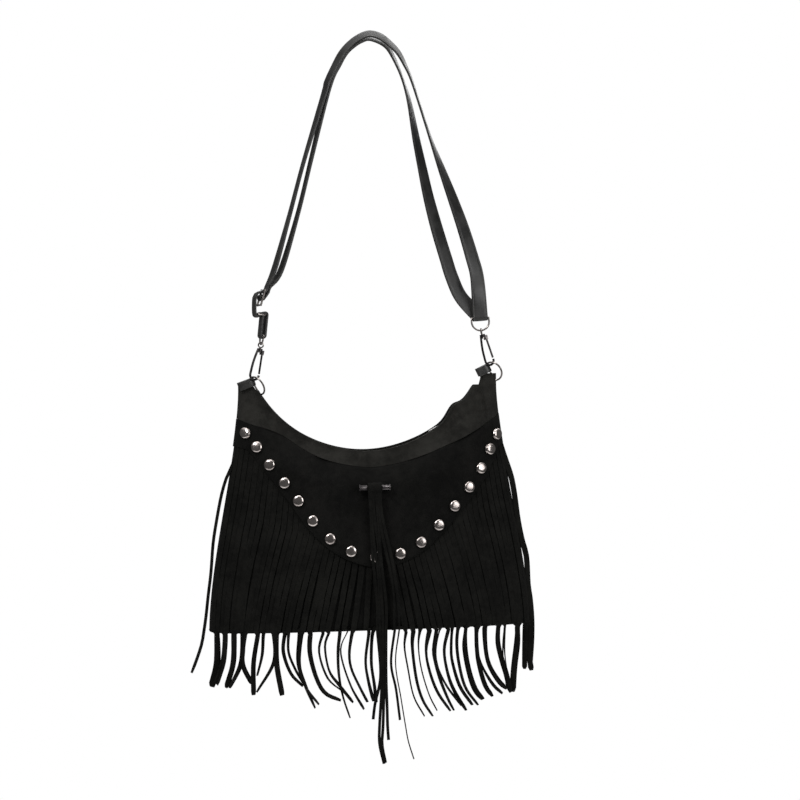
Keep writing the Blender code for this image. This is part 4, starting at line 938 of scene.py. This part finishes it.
def seen_at(across, down, y):
    """The bag-frame place that shows at a place of the front view, at a bag-frame depth.

    The view's perspective shrinks a far place towards the view's centre. The
    tilt, turn, pitch and lean of the bag are undone in turn.
    """
    across, down = np.asarray(across, float), np.asarray(down, float)
    scale = (CAMERA_DISTANCE + y) / CAMERA_DISTANCE
    x = VIEW_CENTRE[0] + (across - VIEW_CENTRE[0]) * scale - SHIFT_X
    z = VIEW_CENTRE[2] + (down - VIEW_CENTRE[2]) * scale + BASE_DROP
    x, z = x * math.cos(TILT) + z * math.sin(TILT), -x * math.sin(TILT) + z * math.cos(TILT)
    z = (z - EAR_HEIGHT - y * math.sin(PITCH)) / math.cos(PITCH) + EAR_HEIGHT
    depth = y * math.cos(PITCH) - (z - EAR_HEIGHT) * math.sin(PITCH)
    x = (x + depth * math.sin(TURN)) / math.cos(TURN) - LEAN_X * z
    return np.stack(np.broadcast_arrays(x, y, z), -1)


def spaced(rows, count):
    """Rows at even steps of length along a smooth curve, its first row left out."""
    fine = curve_through(rows, 0.002)
    length = np.concatenate([[0], np.cumsum(np.linalg.norm(np.diff(fine[:, :3], axis=0), axis=1))])
    at = np.linspace(0, length[-1], count + 1)[1:]
    return np.stack([np.interp(at, length, fine[:, k]) for k in range(fine.shape[1])], -1)


# %% Strip paths and sections
def fringe_strips():
    """Arrays of shape (strip, row, 3) for the whole fringe: middles, width and face directions.

    Down to the base a row's middle lies on the body. Below it the middle
    follows the nearest course. The strip turns by arccos(shown width / width),
    so that a strip that shows narrow is seen from its edge.
    """
    start = yoke_angle_z(middle_angle) + 0.006
    lay_rows, free_rows = 16, 18
    lie = np.linspace(0, 1, lay_rows)[None, :]
    z = start[:, None] * (1 - lie)
    lift = (FRINGE_STAND + FRINGE_THICK / 2 + ease((lie - 0.12) / 0.25)
            * rng.uniform(0.0, 0.0010, (STRIPS, 1)))
    on_body = body(np.broadcast_to(middle_angle[:, None], z.shape), z, FRONT, lift, 0.0)
    wander = np.cumsum(rng.normal(0, 1, (STRIPS, lay_rows)), axis=1)
    on_body[..., 0] += (wander - wander[:, :1]) * 0.00018 * ease(lie * 1.5)
    foot = on_body[:, -1]
    starts = np.array([course[0][0] for course in COURSES]) / 1000
    width = STRIP_WIDTH * rng.uniform(0.90, 1.02, (STRIPS, 1)) * np.ones(lay_rows + free_rows)
    free, turn_by = [], []
    for n in range(STRIPS):
        y = foot[n, 1] + rng.uniform(-0.0035, 0.0035)
        spots = seen_at(starts, np.full(len(starts), -0.59), y)
        course = np.array(COURSES[np.argmin(np.abs(spots[:, 0] - foot[n, 0]))])
        course[:, :2] /= 1000
        course[1:, :2] += rng.normal(0, 0.0005, 2)
        depth = foot[n, 1] + (y - foot[n, 1]) * np.linspace(0.4, 1, len(course))
        shown = np.arccos(np.clip(course[:, 2:] / 1000 / STRIP_WIDTH, 0, 0.999))
        rows = np.hstack([seen_at(course[:, 0], course[:, 1], depth), shown])
        rows = spaced(np.vstack([[*foot[n], 0.0], rows]), free_rows)
        free.append(rows[:, :3])
        turn_by.append(rows[:, 3] * rng.choice([-1, 1]))
    middle = np.concatenate([on_body, np.array(free)], axis=1)
    along = unit(np.gradient(middle, axis=1))
    here = body(middle_angle[:, None] + 0 * z, z, FRONT, lift)
    beside = body(middle_angle[:, None] - 0.004 + 0 * z, z, FRONT, lift)
    side = unit(beside - here)
    side = np.concatenate([side, np.repeat(side[:, -1:], free_rows, axis=1)], axis=1)
    side = unit(side - along * np.sum(side * along, -1, keepdims=True))
    normal = np.cross(along, side)
    small_turn = rng.normal(0, 0.05, (STRIPS, 1)) * ease(lie * 2)
    curl = np.concatenate([small_turn, np.array(turn_by)], axis=1)
    cosine, sine = np.cos(curl)[..., None], np.sin(curl)[..., None]
    side, normal = side * cosine + normal * sine, normal * cosine - side * sine
    width[:, -1] *= rng.uniform(0.45, 0.8, STRIPS)
    return middle, side, normal, width


middle, side, normal, width = fringe_strips()

# %% The outermost strips
# The strip at the left end hangs clear of the body, and so does the one at the right.
# The left one is seen edge-on, so it looks narrower.
LEFT_EDGE_WIDTH, RIGHT_EDGE_WIDTH = 0.55, 1.15
EDGE_TURN = 0.5          # radians that an end strip faces away from the front
EDGE_STRIPS = {
    0: [(-129.5, -396), (-131, -406), (-134.5, -417), (-138.5, -427), (-143.5, -438), (-148.3, -455),
        (-153, -480), (-156.4, -502.5), (-158.5, -530.5), (-161.3, -554), (-163.4, -573.7),
        (-165.4, -588), (-168, -603), (-173.6, -620), (-178, -631.3)],
    STRIPS - 1: [(129.5, -398), (133.5, -411), (138, -424), (142.4, -437.7), (145.6, -455.5),
                 (148.8, -479), (153, -500), (157.6, -517), (159.2, -545), (161.4, -560), (163, -580),
                 (163, -600), (162, -616), (161, -630)],
}


for n, route in EDGE_STRIPS.items():
    route = curve_through(np.array(route) / 1000, 0.004)
    reach = np.linspace(0, 1, middle.shape[1])
    length = np.concatenate([[0], np.cumsum(np.hypot(*np.diff(route, axis=0).T))])
    at = np.stack([np.interp(reach * length[-1], length, route[:, k]) for k in (0, 1)], -1)
    y = np.linspace(middle[n, 0, 1], middle[n, -1, 1], len(reach))
    middle[n] = seen_at(at[:, 0], at[:, 1], y)
    width[n] *= RIGHT_EDGE_WIDTH if n else LEFT_EDGE_WIDTH
    along = unit(np.gradient(middle[n], axis=0))
    facing = unit(np.array([math.sin(EDGE_TURN), -math.cos(EDGE_TURN), 0.0])
                  * [1 if n else -1, 1, 1])
    across = unit(np.cross(np.broadcast_to(facing, along.shape), along))
    side[n], normal[n] = across, np.cross(along, across)

# %% One mesh for the fringe
half = FRINGE_THICK / 2
corners = [(-0.5, -1), (0.5, -1), (0.5, 1), (-0.5, 1)]
rings = np.stack([middle + side * width[..., None] * a + normal * half * b
                  for a, b in corners], axis=2)
tip = rings[:, -1:].mean(axis=2, keepdims=True) + np.zeros((1, 1, 4, 1))
head = rings[:, :1].mean(axis=2, keepdims=True) + np.zeros((1, 1, 4, 1))
rings = np.concatenate([head, rings, tip], axis=1)
quads = sweep_quads(rings[0])
faces = (quads[None] + (np.arange(STRIPS) * rings.shape[1] * 4)[:, None, None]).reshape(-1, 4)
fringe_piece = put_mesh("fringe_strips", to_world(rings), faces[:, ::-1], FRINGE_SUEDE, "bag", smooth=False)
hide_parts("fringe")
print("fringe strips:", STRIPS, "faces:", len(faces))

# %% [markdown]
# ## Studs
#
# The studs are dome rivets set through the yoke, in a V that follows its
# edge. A dome is a profile turned about its axis: a low rim, then a cap.

# %% Dome rivets
STUD_DIAMETER, STUD_HEIGHT, STUD_COUNT = 0.0117, 0.0029, 17
STUD_X = np.array([-120.5, -110.1, -98.4, -84.6, -71.7, -58.3, -41.9, -22.0, 1.3, 25.8, 45.6, 63.9,
                   79.9, 94.6, 107.0, 116.6, 124.4]) / 1000
STUD_Z = np.array([195.9, 182.1, 164.3, 146.3, 128.4, 108.4, 90.3, 77.4, 71.3, 73.9, 84.3, 100.7,
                   118.9, 137.1, 155.4, 173.9, 188.4]) / 1000
share = 1 - np.linspace(0, 1, 12) ** 1.7
cap = (1 - share**3.0) ** (1 / 3.0)
dome_r = np.concatenate([[0.0, 0.94, 1.0, 0.995], 0.97 * share])
dome_h = np.concatenate([[-0.26, -0.26, -0.12, 0.10], 0.14 + 0.86 * cap])
turn = np.arange(28) * 2 * math.pi / 28
for n in range(STUD_COUNT):
    here, out, along, up = front_frame(STUD_X[n], STUD_Z[n], YOKE_FACE + SEAM_GAP + 0.0006)
    circle = np.cos(turn)[:, None] * along + np.sin(turn)[:, None] * up
    rings = (here + (STUD_DIAMETER / 2 * dome_r)[:, None, None] * circle
             + (STUD_HEIGHT * dome_h)[:, None, None] * out)
    name = f"stud_{n + 1:02d}"
    stud = put_mesh(name + "_dome", to_world(rings), sweep_quads(rings), STUD_NICKEL, "bag")
    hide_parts(name)
print("studs:", STUD_COUNT)

# %% [markdown]
# ## Toggle and tassel
#
# A short dark bar hangs at the middle of the yoke. Five suede laces go over
# it side by side and fall in front of the fringe as a tassel. Each lace is a
# flat section carried round the bar and then down its own path.

# %% Laces
TOGGLE_RADIUS, LACE_THICK, LACE_WIDTH = 0.00375, 0.0012, 0.0030
seat, out, along, up = front_frame(0.0012, 0.1388, YOKE_FACE + SEAM_GAP + LACE_THICK)
toggle_centre = seat + out * (TOGGLE_RADIUS + SEAM_GAP)
wrap = TOGGLE_RADIUS + SEAM_GAP + LACE_THICK / 2
# Per lace: its place on the bar, its course from the base down as seen from the front, its turn
LACES = [
    (-0.0055, [(7, -588), (10.5, -635), (5, -664), (3, -680)], 0.2),
    (-0.0033, [(10, -588), (12, -635), (9.5, -686), (9.5, -705), (14, -725)], -0.2),
    (-0.0011, [(13, -588), (14, -635), (13, -686), (12, -705), (15.5, -724)], 0.15),
    (0.0011, [(16, -588), (16, -635), (17, -667), (17.5, -686), (18.5, -701)], 0.1),
    (0.0033, [(25, -588), (21, -623), (26, -650), (30, -681)], 0.5),
    (0.0055, [(29.5, -588), (25.5, -623), (31, -659), (35.5, -686.5), (38.5, -703), (44, -720.5)], 0.9),
]
tassel_rings = []
for n, (offset, course, twist) in enumerate(LACES):
    arc = np.radians(np.linspace(-70, 190, 14))
    start = toggle_centre + along * offset
    over = start + wrap * (np.sin(arc)[:, None] * up + np.cos(arc)[:, None] * out)
    course = np.array(course) / 1000
    depth = YOKE_FACE + 0.0046 + 0.0006 * n
    hang_y = body(angle_at(0.01, 0.0), 0.0, FRONT, depth)[1]
    free = seen_at(course[:, 0], course[:, 1], hang_y)
    fall = np.linspace(0, 1, 30)[1:-1, None]
    top = over[0]
    z = top[2] + (free[0, 2] - top[2]) * fall
    x = top[0] + (free[0, 0] - top[0]) * ease(fall * 1.1) + 0.0007 * np.sin(fall * 9 + n * 2)
    front_y = body(angle_at(x, np.maximum(z, 0)), z, FRONT, depth)[..., 1]
    y = np.minimum(front_y * ease(fall * 2.5) + top[1] * (1 - ease(fall * 2.5)), front_y)
    lie = np.concatenate([x, y, z], axis=1)
    path = np.vstack([over[::-1], lie, free[:1], spaced(free, 24)])
    rows = len(path)
    angle = twist * ease((np.arange(rows) / rows - 0.3) * 2.2) * 1.6
    across = np.cos(angle)[:, None] * along + np.sin(angle)[:, None] * np.array([0.0, 1.0, 0.0])
    tassel_rings.append((path, across))

points, faces, offset = [], [], 0
for path, across in tassel_rings:
    rings = sweep(path, across, flat_outline(LACE_WIDTH, LACE_THICK, 3))
    points.append(rings.reshape(-1, 3))
    faces.append(sweep_quads(rings) + offset)
    offset += len(points[-1])
laces = put_mesh("tassel_laces", to_world(np.concatenate(points)), np.concatenate(faces),
                 FRINGE_SUEDE, "bag")
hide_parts("tassel", "lace_wrap")

# %% Toggle bar
TOGGLE_LENGTH = 0.032
stations = np.array([-1, -0.985, -0.95, -0.90, -0.88, -0.86, 0.86, 0.88, 0.90, 0.95, 0.985, 1])
swell = np.array([0.55, 0.85, 0.98, 1.0, 0.86, 0.80, 0.80, 0.86, 1.0, 0.98, 0.85, 0.55])
turn = np.arange(24) * 2 * math.pi / 24
circle = np.cos(turn)[:, None] * out + np.sin(turn)[:, None] * up
rings = (toggle_centre + (stations * TOGGLE_LENGTH / 2)[:, None, None] * along
         + (swell * TOGGLE_RADIUS)[:, None, None] * circle)
ends = [np.broadcast_to(rings[k].mean(0), rings[k].shape)[None] for k in (0, -1)]
rings = np.concatenate([ends[0], rings, ends[1]])
bar = put_mesh("toggle", to_world(rings), sweep_quads(rings)[:, ::-1], GUNMETAL, "bag")
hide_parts("toggle_bar")
print("laces:", len(LACES))

# %% [markdown]
# ## Strap
#
# The strap is one long band, doubled. It is sewn round the slider's middle
# bar, goes over the shoulder, round the right ring and back over, through the
# slider, and is sewn round the upper ring. The control rows hold places and
# the direction of the band's width, and a smooth curve runs through them.

# %% Bars that the strap goes round
UP = np.array([0.0, 0.0, 1.0])
SLIDER_MIDDLE = np.array([-0.10801, -0.01610, -0.25722])
SLIDER_HIGH = np.array([-0.10597, -0.01559, -0.24971])
UPPER_RING_LEFT = np.array([-0.11238, -0.01719, -0.27373])
UPPER_RING_RIGHT = np.array([-0.10530, -0.01542, -0.27433])
LOWER_RING_BAR = np.array([-0.10724, -0.01590, -0.29483])
LOWER_RING_WIRE = np.array([-0.1084, -0.01619, -0.30373])
RIGHT_RING_BAR = np.array([0.11034, 0.01206, -0.27645])
RIGHT_RING_WIRE = np.array([0.11154, 0.01206, -0.28925])
LEFT_ACROSS = np.array([0.24192, -0.97030, 0.0])
SLIDER_WAY = np.array([0.26194, 0.06531, 0.96287])
RIGHT_BAR_WAY = np.array([0.98838, 0.12701, 0.08351])
STRAP_WIDTH, STRAP_THICK, STRAP_LAYER_GAP, LINK_GAP = 0.015, 0.0022, 0.0027, 0.0003
WIRE_RADIUS = 0.0009
LOOP_RADIUS = WIRE_RADIUS + LINK_GAP + STRAP_THICK / 2

# Each layer's course from its top: shares of the way across and down, and a twist in degrees
OUTER_LEFT = [(0.085, 0.010, 28), (0.185, 0.038, 28), (0.272, 0.078, 28), (0.347, 0.134, 26),
              (0.415, 0.192, 23), (0.444, 0.236, 20), (0.641, 0.504, 13), (0.784, 0.724, 14),
              (0.926, 0.931, 20)]
INNER_LEFT = [(0.090, 0.008, 20), (0.165, 0.026, 21), (0.245, 0.056, 22), (0.313, 0.103, 22),
              (0.412, 0.196, 20), (0.58, 0.475, 14), (0.715, 0.70, 14), (0.885, 0.93, 20)]
OUTER_RIGHT = [(0.087, 0.009, 27), (0.168, 0.032, 24), (0.257, 0.068, 18), (0.322, 0.116, 11),
               (0.378, 0.167, 7), (0.465, 0.274, 5), (0.553, 0.381, 9), (0.653, 0.489, 25),
               (0.754, 0.596, 39), (0.848, 0.702, 50), (0.930, 0.809, 58), (0.975, 0.880, 63)]
INNER_RIGHT = [(0.140, 0.023, 18), (0.216, 0.066, 12), (0.300, 0.143, 6), (0.366, 0.229, 13),
               (0.430, 0.361, 25), (0.488, 0.469, 33), (0.548, 0.577, 41), (0.622, 0.685, 50),
               (0.706, 0.793, 54), (0.765, 0.865, 57), (0.850, 0.937, 61)]
OUTER_ROLL, INNER_ROLL = 28, 18


# %% Strap rows
def arm(shape, top, end, side_sign, roll):
    """Rows from the top towards an end: shares across and down, and a twist in degrees.

    The width lies towards the front, and its front edge turns in towards the
    middle of the arch by the twist.
    """
    shares = np.array([(0.0, 0.0, roll), *shape])
    spots = top + (end - top) * shares[:, [0, 1, 1]]
    along = unit(np.gradient(spots, axis=0))
    turn_by = np.radians(shares[:, 2:])
    inwards = np.stack([side_sign * along[:, 2], 0 * along[:, 1], -side_sign * along[:, 0]], -1)
    inwards[0] = (0.0, 0.0, -1.0)
    ways = unit(inwards) * np.sin(turn_by) + np.array([0.0, -1.0, 0.0]) * np.cos(turn_by)
    return [(*spot, *way) for spot, way in zip(spots, ways)]


def loop(bar_at, way, start, stop, steps, first, second):
    """Rows on an arc about a bar, from its first direction towards its second."""
    turn_by = np.radians(np.linspace(start, stop, steps))[:, None]
    spots = bar_at + LOOP_RADIUS * (np.cos(turn_by) * first + np.sin(turn_by) * second)
    return [(*spot, *way) for spot in spots]


def strap_rows():
    way, up_way = LEFT_ACROSS, SLIDER_WAY
    right = unit(np.cross(up_way, way))
    level = unit(np.cross(UP, way))
    half_thick, layer = STRAP_THICK / 2, STRAP_THICK + LINK_GAP
    inner_top = np.array([0.0, 0.0, half_thick + 0.0012])
    outer_top = inner_top + [0.0, 0.0, STRAP_THICK + STRAP_LAYER_GAP]

    def beside(bar_at, out_by, above):
        return (*(bar_at + right * out_by + up_way * above), *way)

    sewn = loop(SLIDER_MIDDLE, way, 75, 360, 8, right, up_way)
    inner_end = beside(SLIDER_HIGH, LOOP_RADIUS + layer + LINK_GAP, 0.004)
    past = [beside(SLIDER_HIGH, LOOP_RADIUS + layer * 0.55, -1.9 * LOOP_RADIUS),
            beside(SLIDER_HIGH, LOOP_RADIUS + layer, -LOOP_RADIUS * 0.4), inner_end]
    outer_end = beside(SLIDER_HIGH, LOOP_RADIUS, 0.004)
    back = unit(np.cross(RIGHT_BAR_WAY, -UP))
    back = back * math.copysign(1.0, back[1])
    drop = unit(np.cross(back, RIGHT_BAR_WAY))
    drop = drop * -math.copysign(1.0, drop[2])
    around = loop(RIGHT_RING_BAR, -RIGHT_BAR_WAY, 0, 180, 7, back, drop)
    enter = (*(RIGHT_RING_BAR + back * LOOP_RADIUS - drop * 0.0035 + np.array([-0.0025, 0.0, 0.0])),
             *-RIGHT_BAR_WAY)
    leave = (*(RIGHT_RING_BAR - back * LOOP_RADIUS - drop * 0.007), *-RIGHT_BAR_WAY)
    past_side = LOOP_RADIUS + layer + half_thick
    through = loop(SLIDER_HIGH, way, 0, -130, 5, right, up_way)
    through += [beside(SLIDER_MIDDLE, -past_side, 0.0022),
                beside(SLIDER_MIDDLE, -past_side - 0.0006, -0.002)]
    through += [(*(UPPER_RING_LEFT - level * (LOOP_RADIUS + 0.0004) + UP * 0.005), *way)]
    through += loop(UPPER_RING_LEFT, way, 180, 405, 8, level, UP)
    rows = sewn + past
    rows += arm(INNER_LEFT, inner_top, np.array(inner_end[:3]), -1, INNER_ROLL)[:0:-1]
    rows += arm(INNER_RIGHT, inner_top, np.array(enter[:3]), 1, INNER_ROLL)
    rows += [enter] + around + [leave]
    rows += arm(OUTER_RIGHT, outer_top, np.array(leave[:3]), 1, OUTER_ROLL)[:0:-1]
    rows += arm(OUTER_LEFT, outer_top, np.array(outer_end[:3]), -1, OUTER_ROLL)
    return rows + [outer_end] + through


# %% Strap section and mesh
def band_section(width, thick):
    """A padded band: flat edges 0.5 mm thinner, a groove at each stitch line, a full middle.

    Returns (across, out) pairs for one turn about the section.
    """
    share = np.array([-1, -0.985, -0.93, -0.86, -0.80, -0.74, -0.5, -0.2, 0.2, 0.5, 0.74, 0.80,
                      0.86, 0.93, 0.985, 1])
    height = np.array([0.66, 0.84, 0.90, 0.92, 0.80, 0.92, 0.98, 1.0, 1.0, 0.98, 0.92, 0.80, 0.92,
                       0.90, 0.84, 0.66])
    upper = np.stack([share * width / 2, height * thick / 2], -1)
    return np.concatenate([upper[::-1], upper * [1, -1]])


def band(name, line, across, width, thick, finish, body_name, closed=False):
    """A leather band along a path, with its length and breadth kept as its UV map."""
    outline = band_section(width, thick)
    rings = sweep(line, across, outline, closed)
    run_at = np.concatenate([[0], np.cumsum(np.linalg.norm(np.diff(line, axis=0), axis=1))])
    if not closed:
        run_at = np.concatenate([run_at[:1], run_at, run_at[-1:]])
    uv = np.stack(np.broadcast_arrays(run_at[:, None], outline[None, :, 0]), -1)
    return put_mesh(name, rings, sweep_quads(rings, closed), finish, body_name, uv)


strap_line = curve_through(strap_rows(), 0.003)
strap_piece = band("strap_band", strap_line[:, :3], strap_line[:, 3:], STRAP_WIDTH, STRAP_THICK,
                   STRAP_LEATHER, "strap")
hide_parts("strap")
print("strap rows:", len(strap_line))

# %% The short sewn tab on the left, and the tabs of the ears
turn = np.linspace(-math.pi / 2, math.pi / 2, 15)[:, None]
tab_up = unit(UPPER_RING_RIGHT - LOWER_RING_BAR)
tab_out = unit(np.cross(tab_up, LEFT_ACROSS))
over = UPPER_RING_RIGHT + LOOP_RADIUS * (np.sin(turn) * tab_out + np.cos(turn) * tab_up)
under = LOWER_RING_BAR - LOOP_RADIUS * (np.sin(turn) * tab_out + np.cos(turn) * tab_up)
side_rows = np.linspace(0, 1, 6)[1:-1, None]
path = np.vstack([over, over[-1] + (under[0] - over[-1]) * side_rows, under,
                  under[-1] + (over[0] - under[-1]) * side_rows])
tab = band("strap_tab", path, LEFT_ACROSS, STRAP_WIDTH, STRAP_THICK, STRAP_LEATHER, "strap", closed=True)
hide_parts("left_strap_tab")

BAR_DOWN = np.array([0.50754, 0.0, -0.86163])
EAR_TAB_WIDTH, EAR_TAB_THICK, EAR_TAB_OPENING = 0.0082, 0.0016, 0.0083
EAR_RING_LENGTH, EAR_RING_STRAIGHT = 0.0196, 0.004
# Upper end of each ear ring's bar, then the tab's slope in degrees and its length
EAR_TABS = {"left": (-0.1142, 0.2494, 19, 0.0158), "right": (0.1229, 0.2580, 25, 0.0128)}
for name, (x_at, z_at, slope, tab_length) in EAR_TABS.items():
    slope = math.radians(slope)
    legs_way = np.array([-math.cos(slope), 0.0, -math.sin(slope)])
    fold_way = np.array([math.sin(slope), 0.0, -math.cos(slope)])
    middle_at = np.array([x_at, 0.0, z_at]) + BAR_DOWN * EAR_TAB_WIDTH * 0.52
    gap = EAR_TAB_OPENING / 2
    fold_at = middle_at + legs_way * (gap - WIRE_RADIUS - LINK_GAP)
    centre_r = gap + EAR_TAB_THICK / 2
    bend = (fold_at - legs_way * centre_r * np.cos(turn)
            + np.array([0.0, 1.0, 0.0]) * centre_r * np.sin(turn))
    leg = legs_way * (tab_length - gap) * np.linspace(0, 1, 6)[1:, None]
    path = np.vstack([(bend[0] + leg)[::-1], bend, bend[-1] + leg])
    piece = band(f"{name}_tab", with_hardware(path), with_hardware(fold_way) - with_hardware([0, 0, 0]),
                 EAR_TAB_WIDTH, EAR_TAB_THICK, STRAP_LEATHER, "bag")
    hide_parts(f"{name}_ear_tab")
print("tabs done")

# %% [markdown]
# ## Rings
#
# The rings are bent from round wire. A circle of twelve points is carried
# along each ring's closed path, so a ring looks round at any distance.

# %% Ring paths
RING_HALF = 0.016 / 2 + WIRE_RADIUS


def d_path(bar_at, across, down, depth):
    """A straight bar with a bow below it: a half circle after two short straight sides."""
    turn = np.linspace(0, math.pi, 25)[:, None]
    straight = max(depth - RING_HALF, 0.0)
    bow = bar_at + across * RING_HALF * np.cos(turn) + down * (straight + RING_HALF * np.sin(turn))
    share = np.array([-0.97, -0.8, -0.5, 0.0, 0.5, 0.8, 0.97])[:, None]
    return np.vstack([bow, bar_at + across * RING_HALF * share])


def round_wire(name, path, radius, finish, body_name, side=(0.31, 0.83, 0.45)):
    rings = sweep(path, np.array(side), round_outline(radius), closed=True)
    return put_mesh(name, rings, sweep_quads(rings, closed=True), finish, body_name)


hang = unit(LOWER_RING_WIRE - LOWER_RING_BAR)
ring = round_wire("lower_ring", d_path(LOWER_RING_BAR, LEFT_ACROSS, hang, RING_HALF), WIRE_RADIUS,
                  DARK_NICKEL, "strap", side=np.cross(LEFT_ACROSS, hang))
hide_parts("left_lower_ring")
hang = RIGHT_RING_WIRE - RIGHT_RING_BAR
hang = unit(hang - RIGHT_BAR_WAY * (hang @ RIGHT_BAR_WAY))
ring = round_wire("right_ring", d_path(RIGHT_RING_BAR, RIGHT_BAR_WAY, hang, 0.0128), WIRE_RADIUS,
                  DARK_NICKEL, "bag", side=np.cross(RIGHT_BAR_WAY, hang))
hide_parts("right_strap_ring")
EAR_AXES = {
    "left": ((-0.11437, -0.00948, -0.34577), (0.52142, 0.09032, -0.84851), (0.54482, -0.80055, 0.24959)),
    "right": ((0.12097, 0.01703, -0.33142), (0.52142, 0.09032, -0.84851), (0.67859, -0.64676, 0.34816)),
}
for name, axes in EAR_AXES.items():
    middle_at, down, out_way = (np.array(a) for a in axes)
    radius = EAR_RING_LENGTH / 2
    turn = np.linspace(0, math.pi, 25)[:, None]
    bow = middle_at + out_way * (EAR_RING_STRAIGHT + radius * np.sin(turn)) - down * radius * np.cos(turn)
    share = np.array([0.97, 0.8, 0.5, 0.0, -0.5, -0.8, -0.97])[:, None]
    path = np.vstack([bow, middle_at + down * radius * share + out_way * 0.0002])
    ring = round_wire(f"{name}_ring_of_ear", path, WIRE_RADIUS, DARK_NICKEL, "bag",
                      side=np.cross(down, out_way))
    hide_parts(f"{name}_ear_ring")

# %% Zip
# The tapes and the rows of teeth follow the circle on which the CAD's slider runs,
# a little below the mouth's edge.
ZIP_CENTRE_Z, ZIP_RADIUS = 0.3153, 0.1443
COIL_RADIUS, COIL_GAP, ZIP_HALF_SPAN = 0.0011, 0.0058, 0.088
coil_y = COIL_GAP / 2 + COIL_RADIUS
span = math.asin(ZIP_HALF_SPAN / ZIP_RADIUS)


def zip_point(angle, y, depth=0.0):
    """A point on the zip's circle, the angle taken from straight down."""
    radius = ZIP_RADIUS + depth
    angle, y = np.broadcast_arrays(angle, y)
    return np.stack([radius * np.sin(angle), y, ZIP_CENTRE_Z - radius * np.cos(angle)], -1)


angle = np.linspace(-span, span, 90)
edge = zip_point(angle, 0.0)
wall = np.abs(body(angle_at(edge[:, 0], edge[:, 2]), edge[:, 2], FRONT, -PANEL_THICK)[:, 1]) - SEAM_GAP
for sign, name in ((FRONT, "front"), (BACK, "back")):
    share = np.linspace(0, 1, 6)[:, None]
    near = coil_y + COIL_RADIUS * 0.6
    y = sign * (near + (wall - near) * share)
    top = zip_point(angle + 0 * share, y, -0.0004 - 0.0003 * np.sin(share * math.pi))
    low = zip_point(angle + 0 * share, y, 0.0004)
    points, faces = slab(with_hardware(top), with_hardware(low))
    tape = put_mesh(f"zip_tape_of_{name}", points, faces if sign > 0 else faces[:, ::-1], ZIP_CLOTH, "bag")
    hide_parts(f"zip_tape_{name}")
    teeth = 78
    tooth_angle = np.linspace(-span, span, teeth)
    size = np.array([0.00045, 0.00105, 0.0009])
    unit_box = np.array([[a, b, c] for a in (-1, 1) for b in (-1, 1) for c in (-1, 1)])
    offset = unit_box * size
    c, s = np.cos(tooth_angle), np.sin(tooth_angle)
    centre_at = zip_point(tooth_angle, sign * coil_y)
    dx = offset[None, :, 0] * c[:, None] + offset[None, :, 2] * s[:, None]
    dz = offset[None, :, 0] * s[:, None] - offset[None, :, 2] * c[:, None]
    corners_at = centre_at[:, None] + np.stack([dx, offset[None, :, 1] + 0 * dx, dz], -1)
    box_faces = np.array([[0, 1, 3, 2], [4, 6, 7, 5], [0, 4, 5, 1], [2, 3, 7, 6], [0, 2, 6, 4], [1, 5, 7, 3]])
    all_faces = (box_faces[None, :, ::-1] + (np.arange(teeth) * 8)[:, None, None]).reshape(-1, 4)
    row = put_mesh(f"zip_teeth_{name}", with_hardware(corners_at), all_faces, TEETH, "bag", smooth=False)
    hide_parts(f"zip_coil_{name}")
print("zip done")

# %% [markdown]
# ## Metal that stays as CAD
#
# The hooks, their gates and eyes, the slider and the zip's slider are already
# the right shape, so they only get their finish.

# %% Finishes for the CAD pieces
for name in ("left_hook", "right_hook", "left_gate", "right_gate"):
    nodes[name].data.materials.clear()
    nodes[name].data.materials.append(GUNMETAL)
for name in ("left_gate_rivet", "right_gate_rivet", "left_swivel_eye", "right_swivel_eye",
             "left_upper_ring", "strap_slider", "zip_slider", "zip_pull"):
    nodes[name].data.materials.clear()
    nodes[name].data.materials.append(DARK_NICKEL)
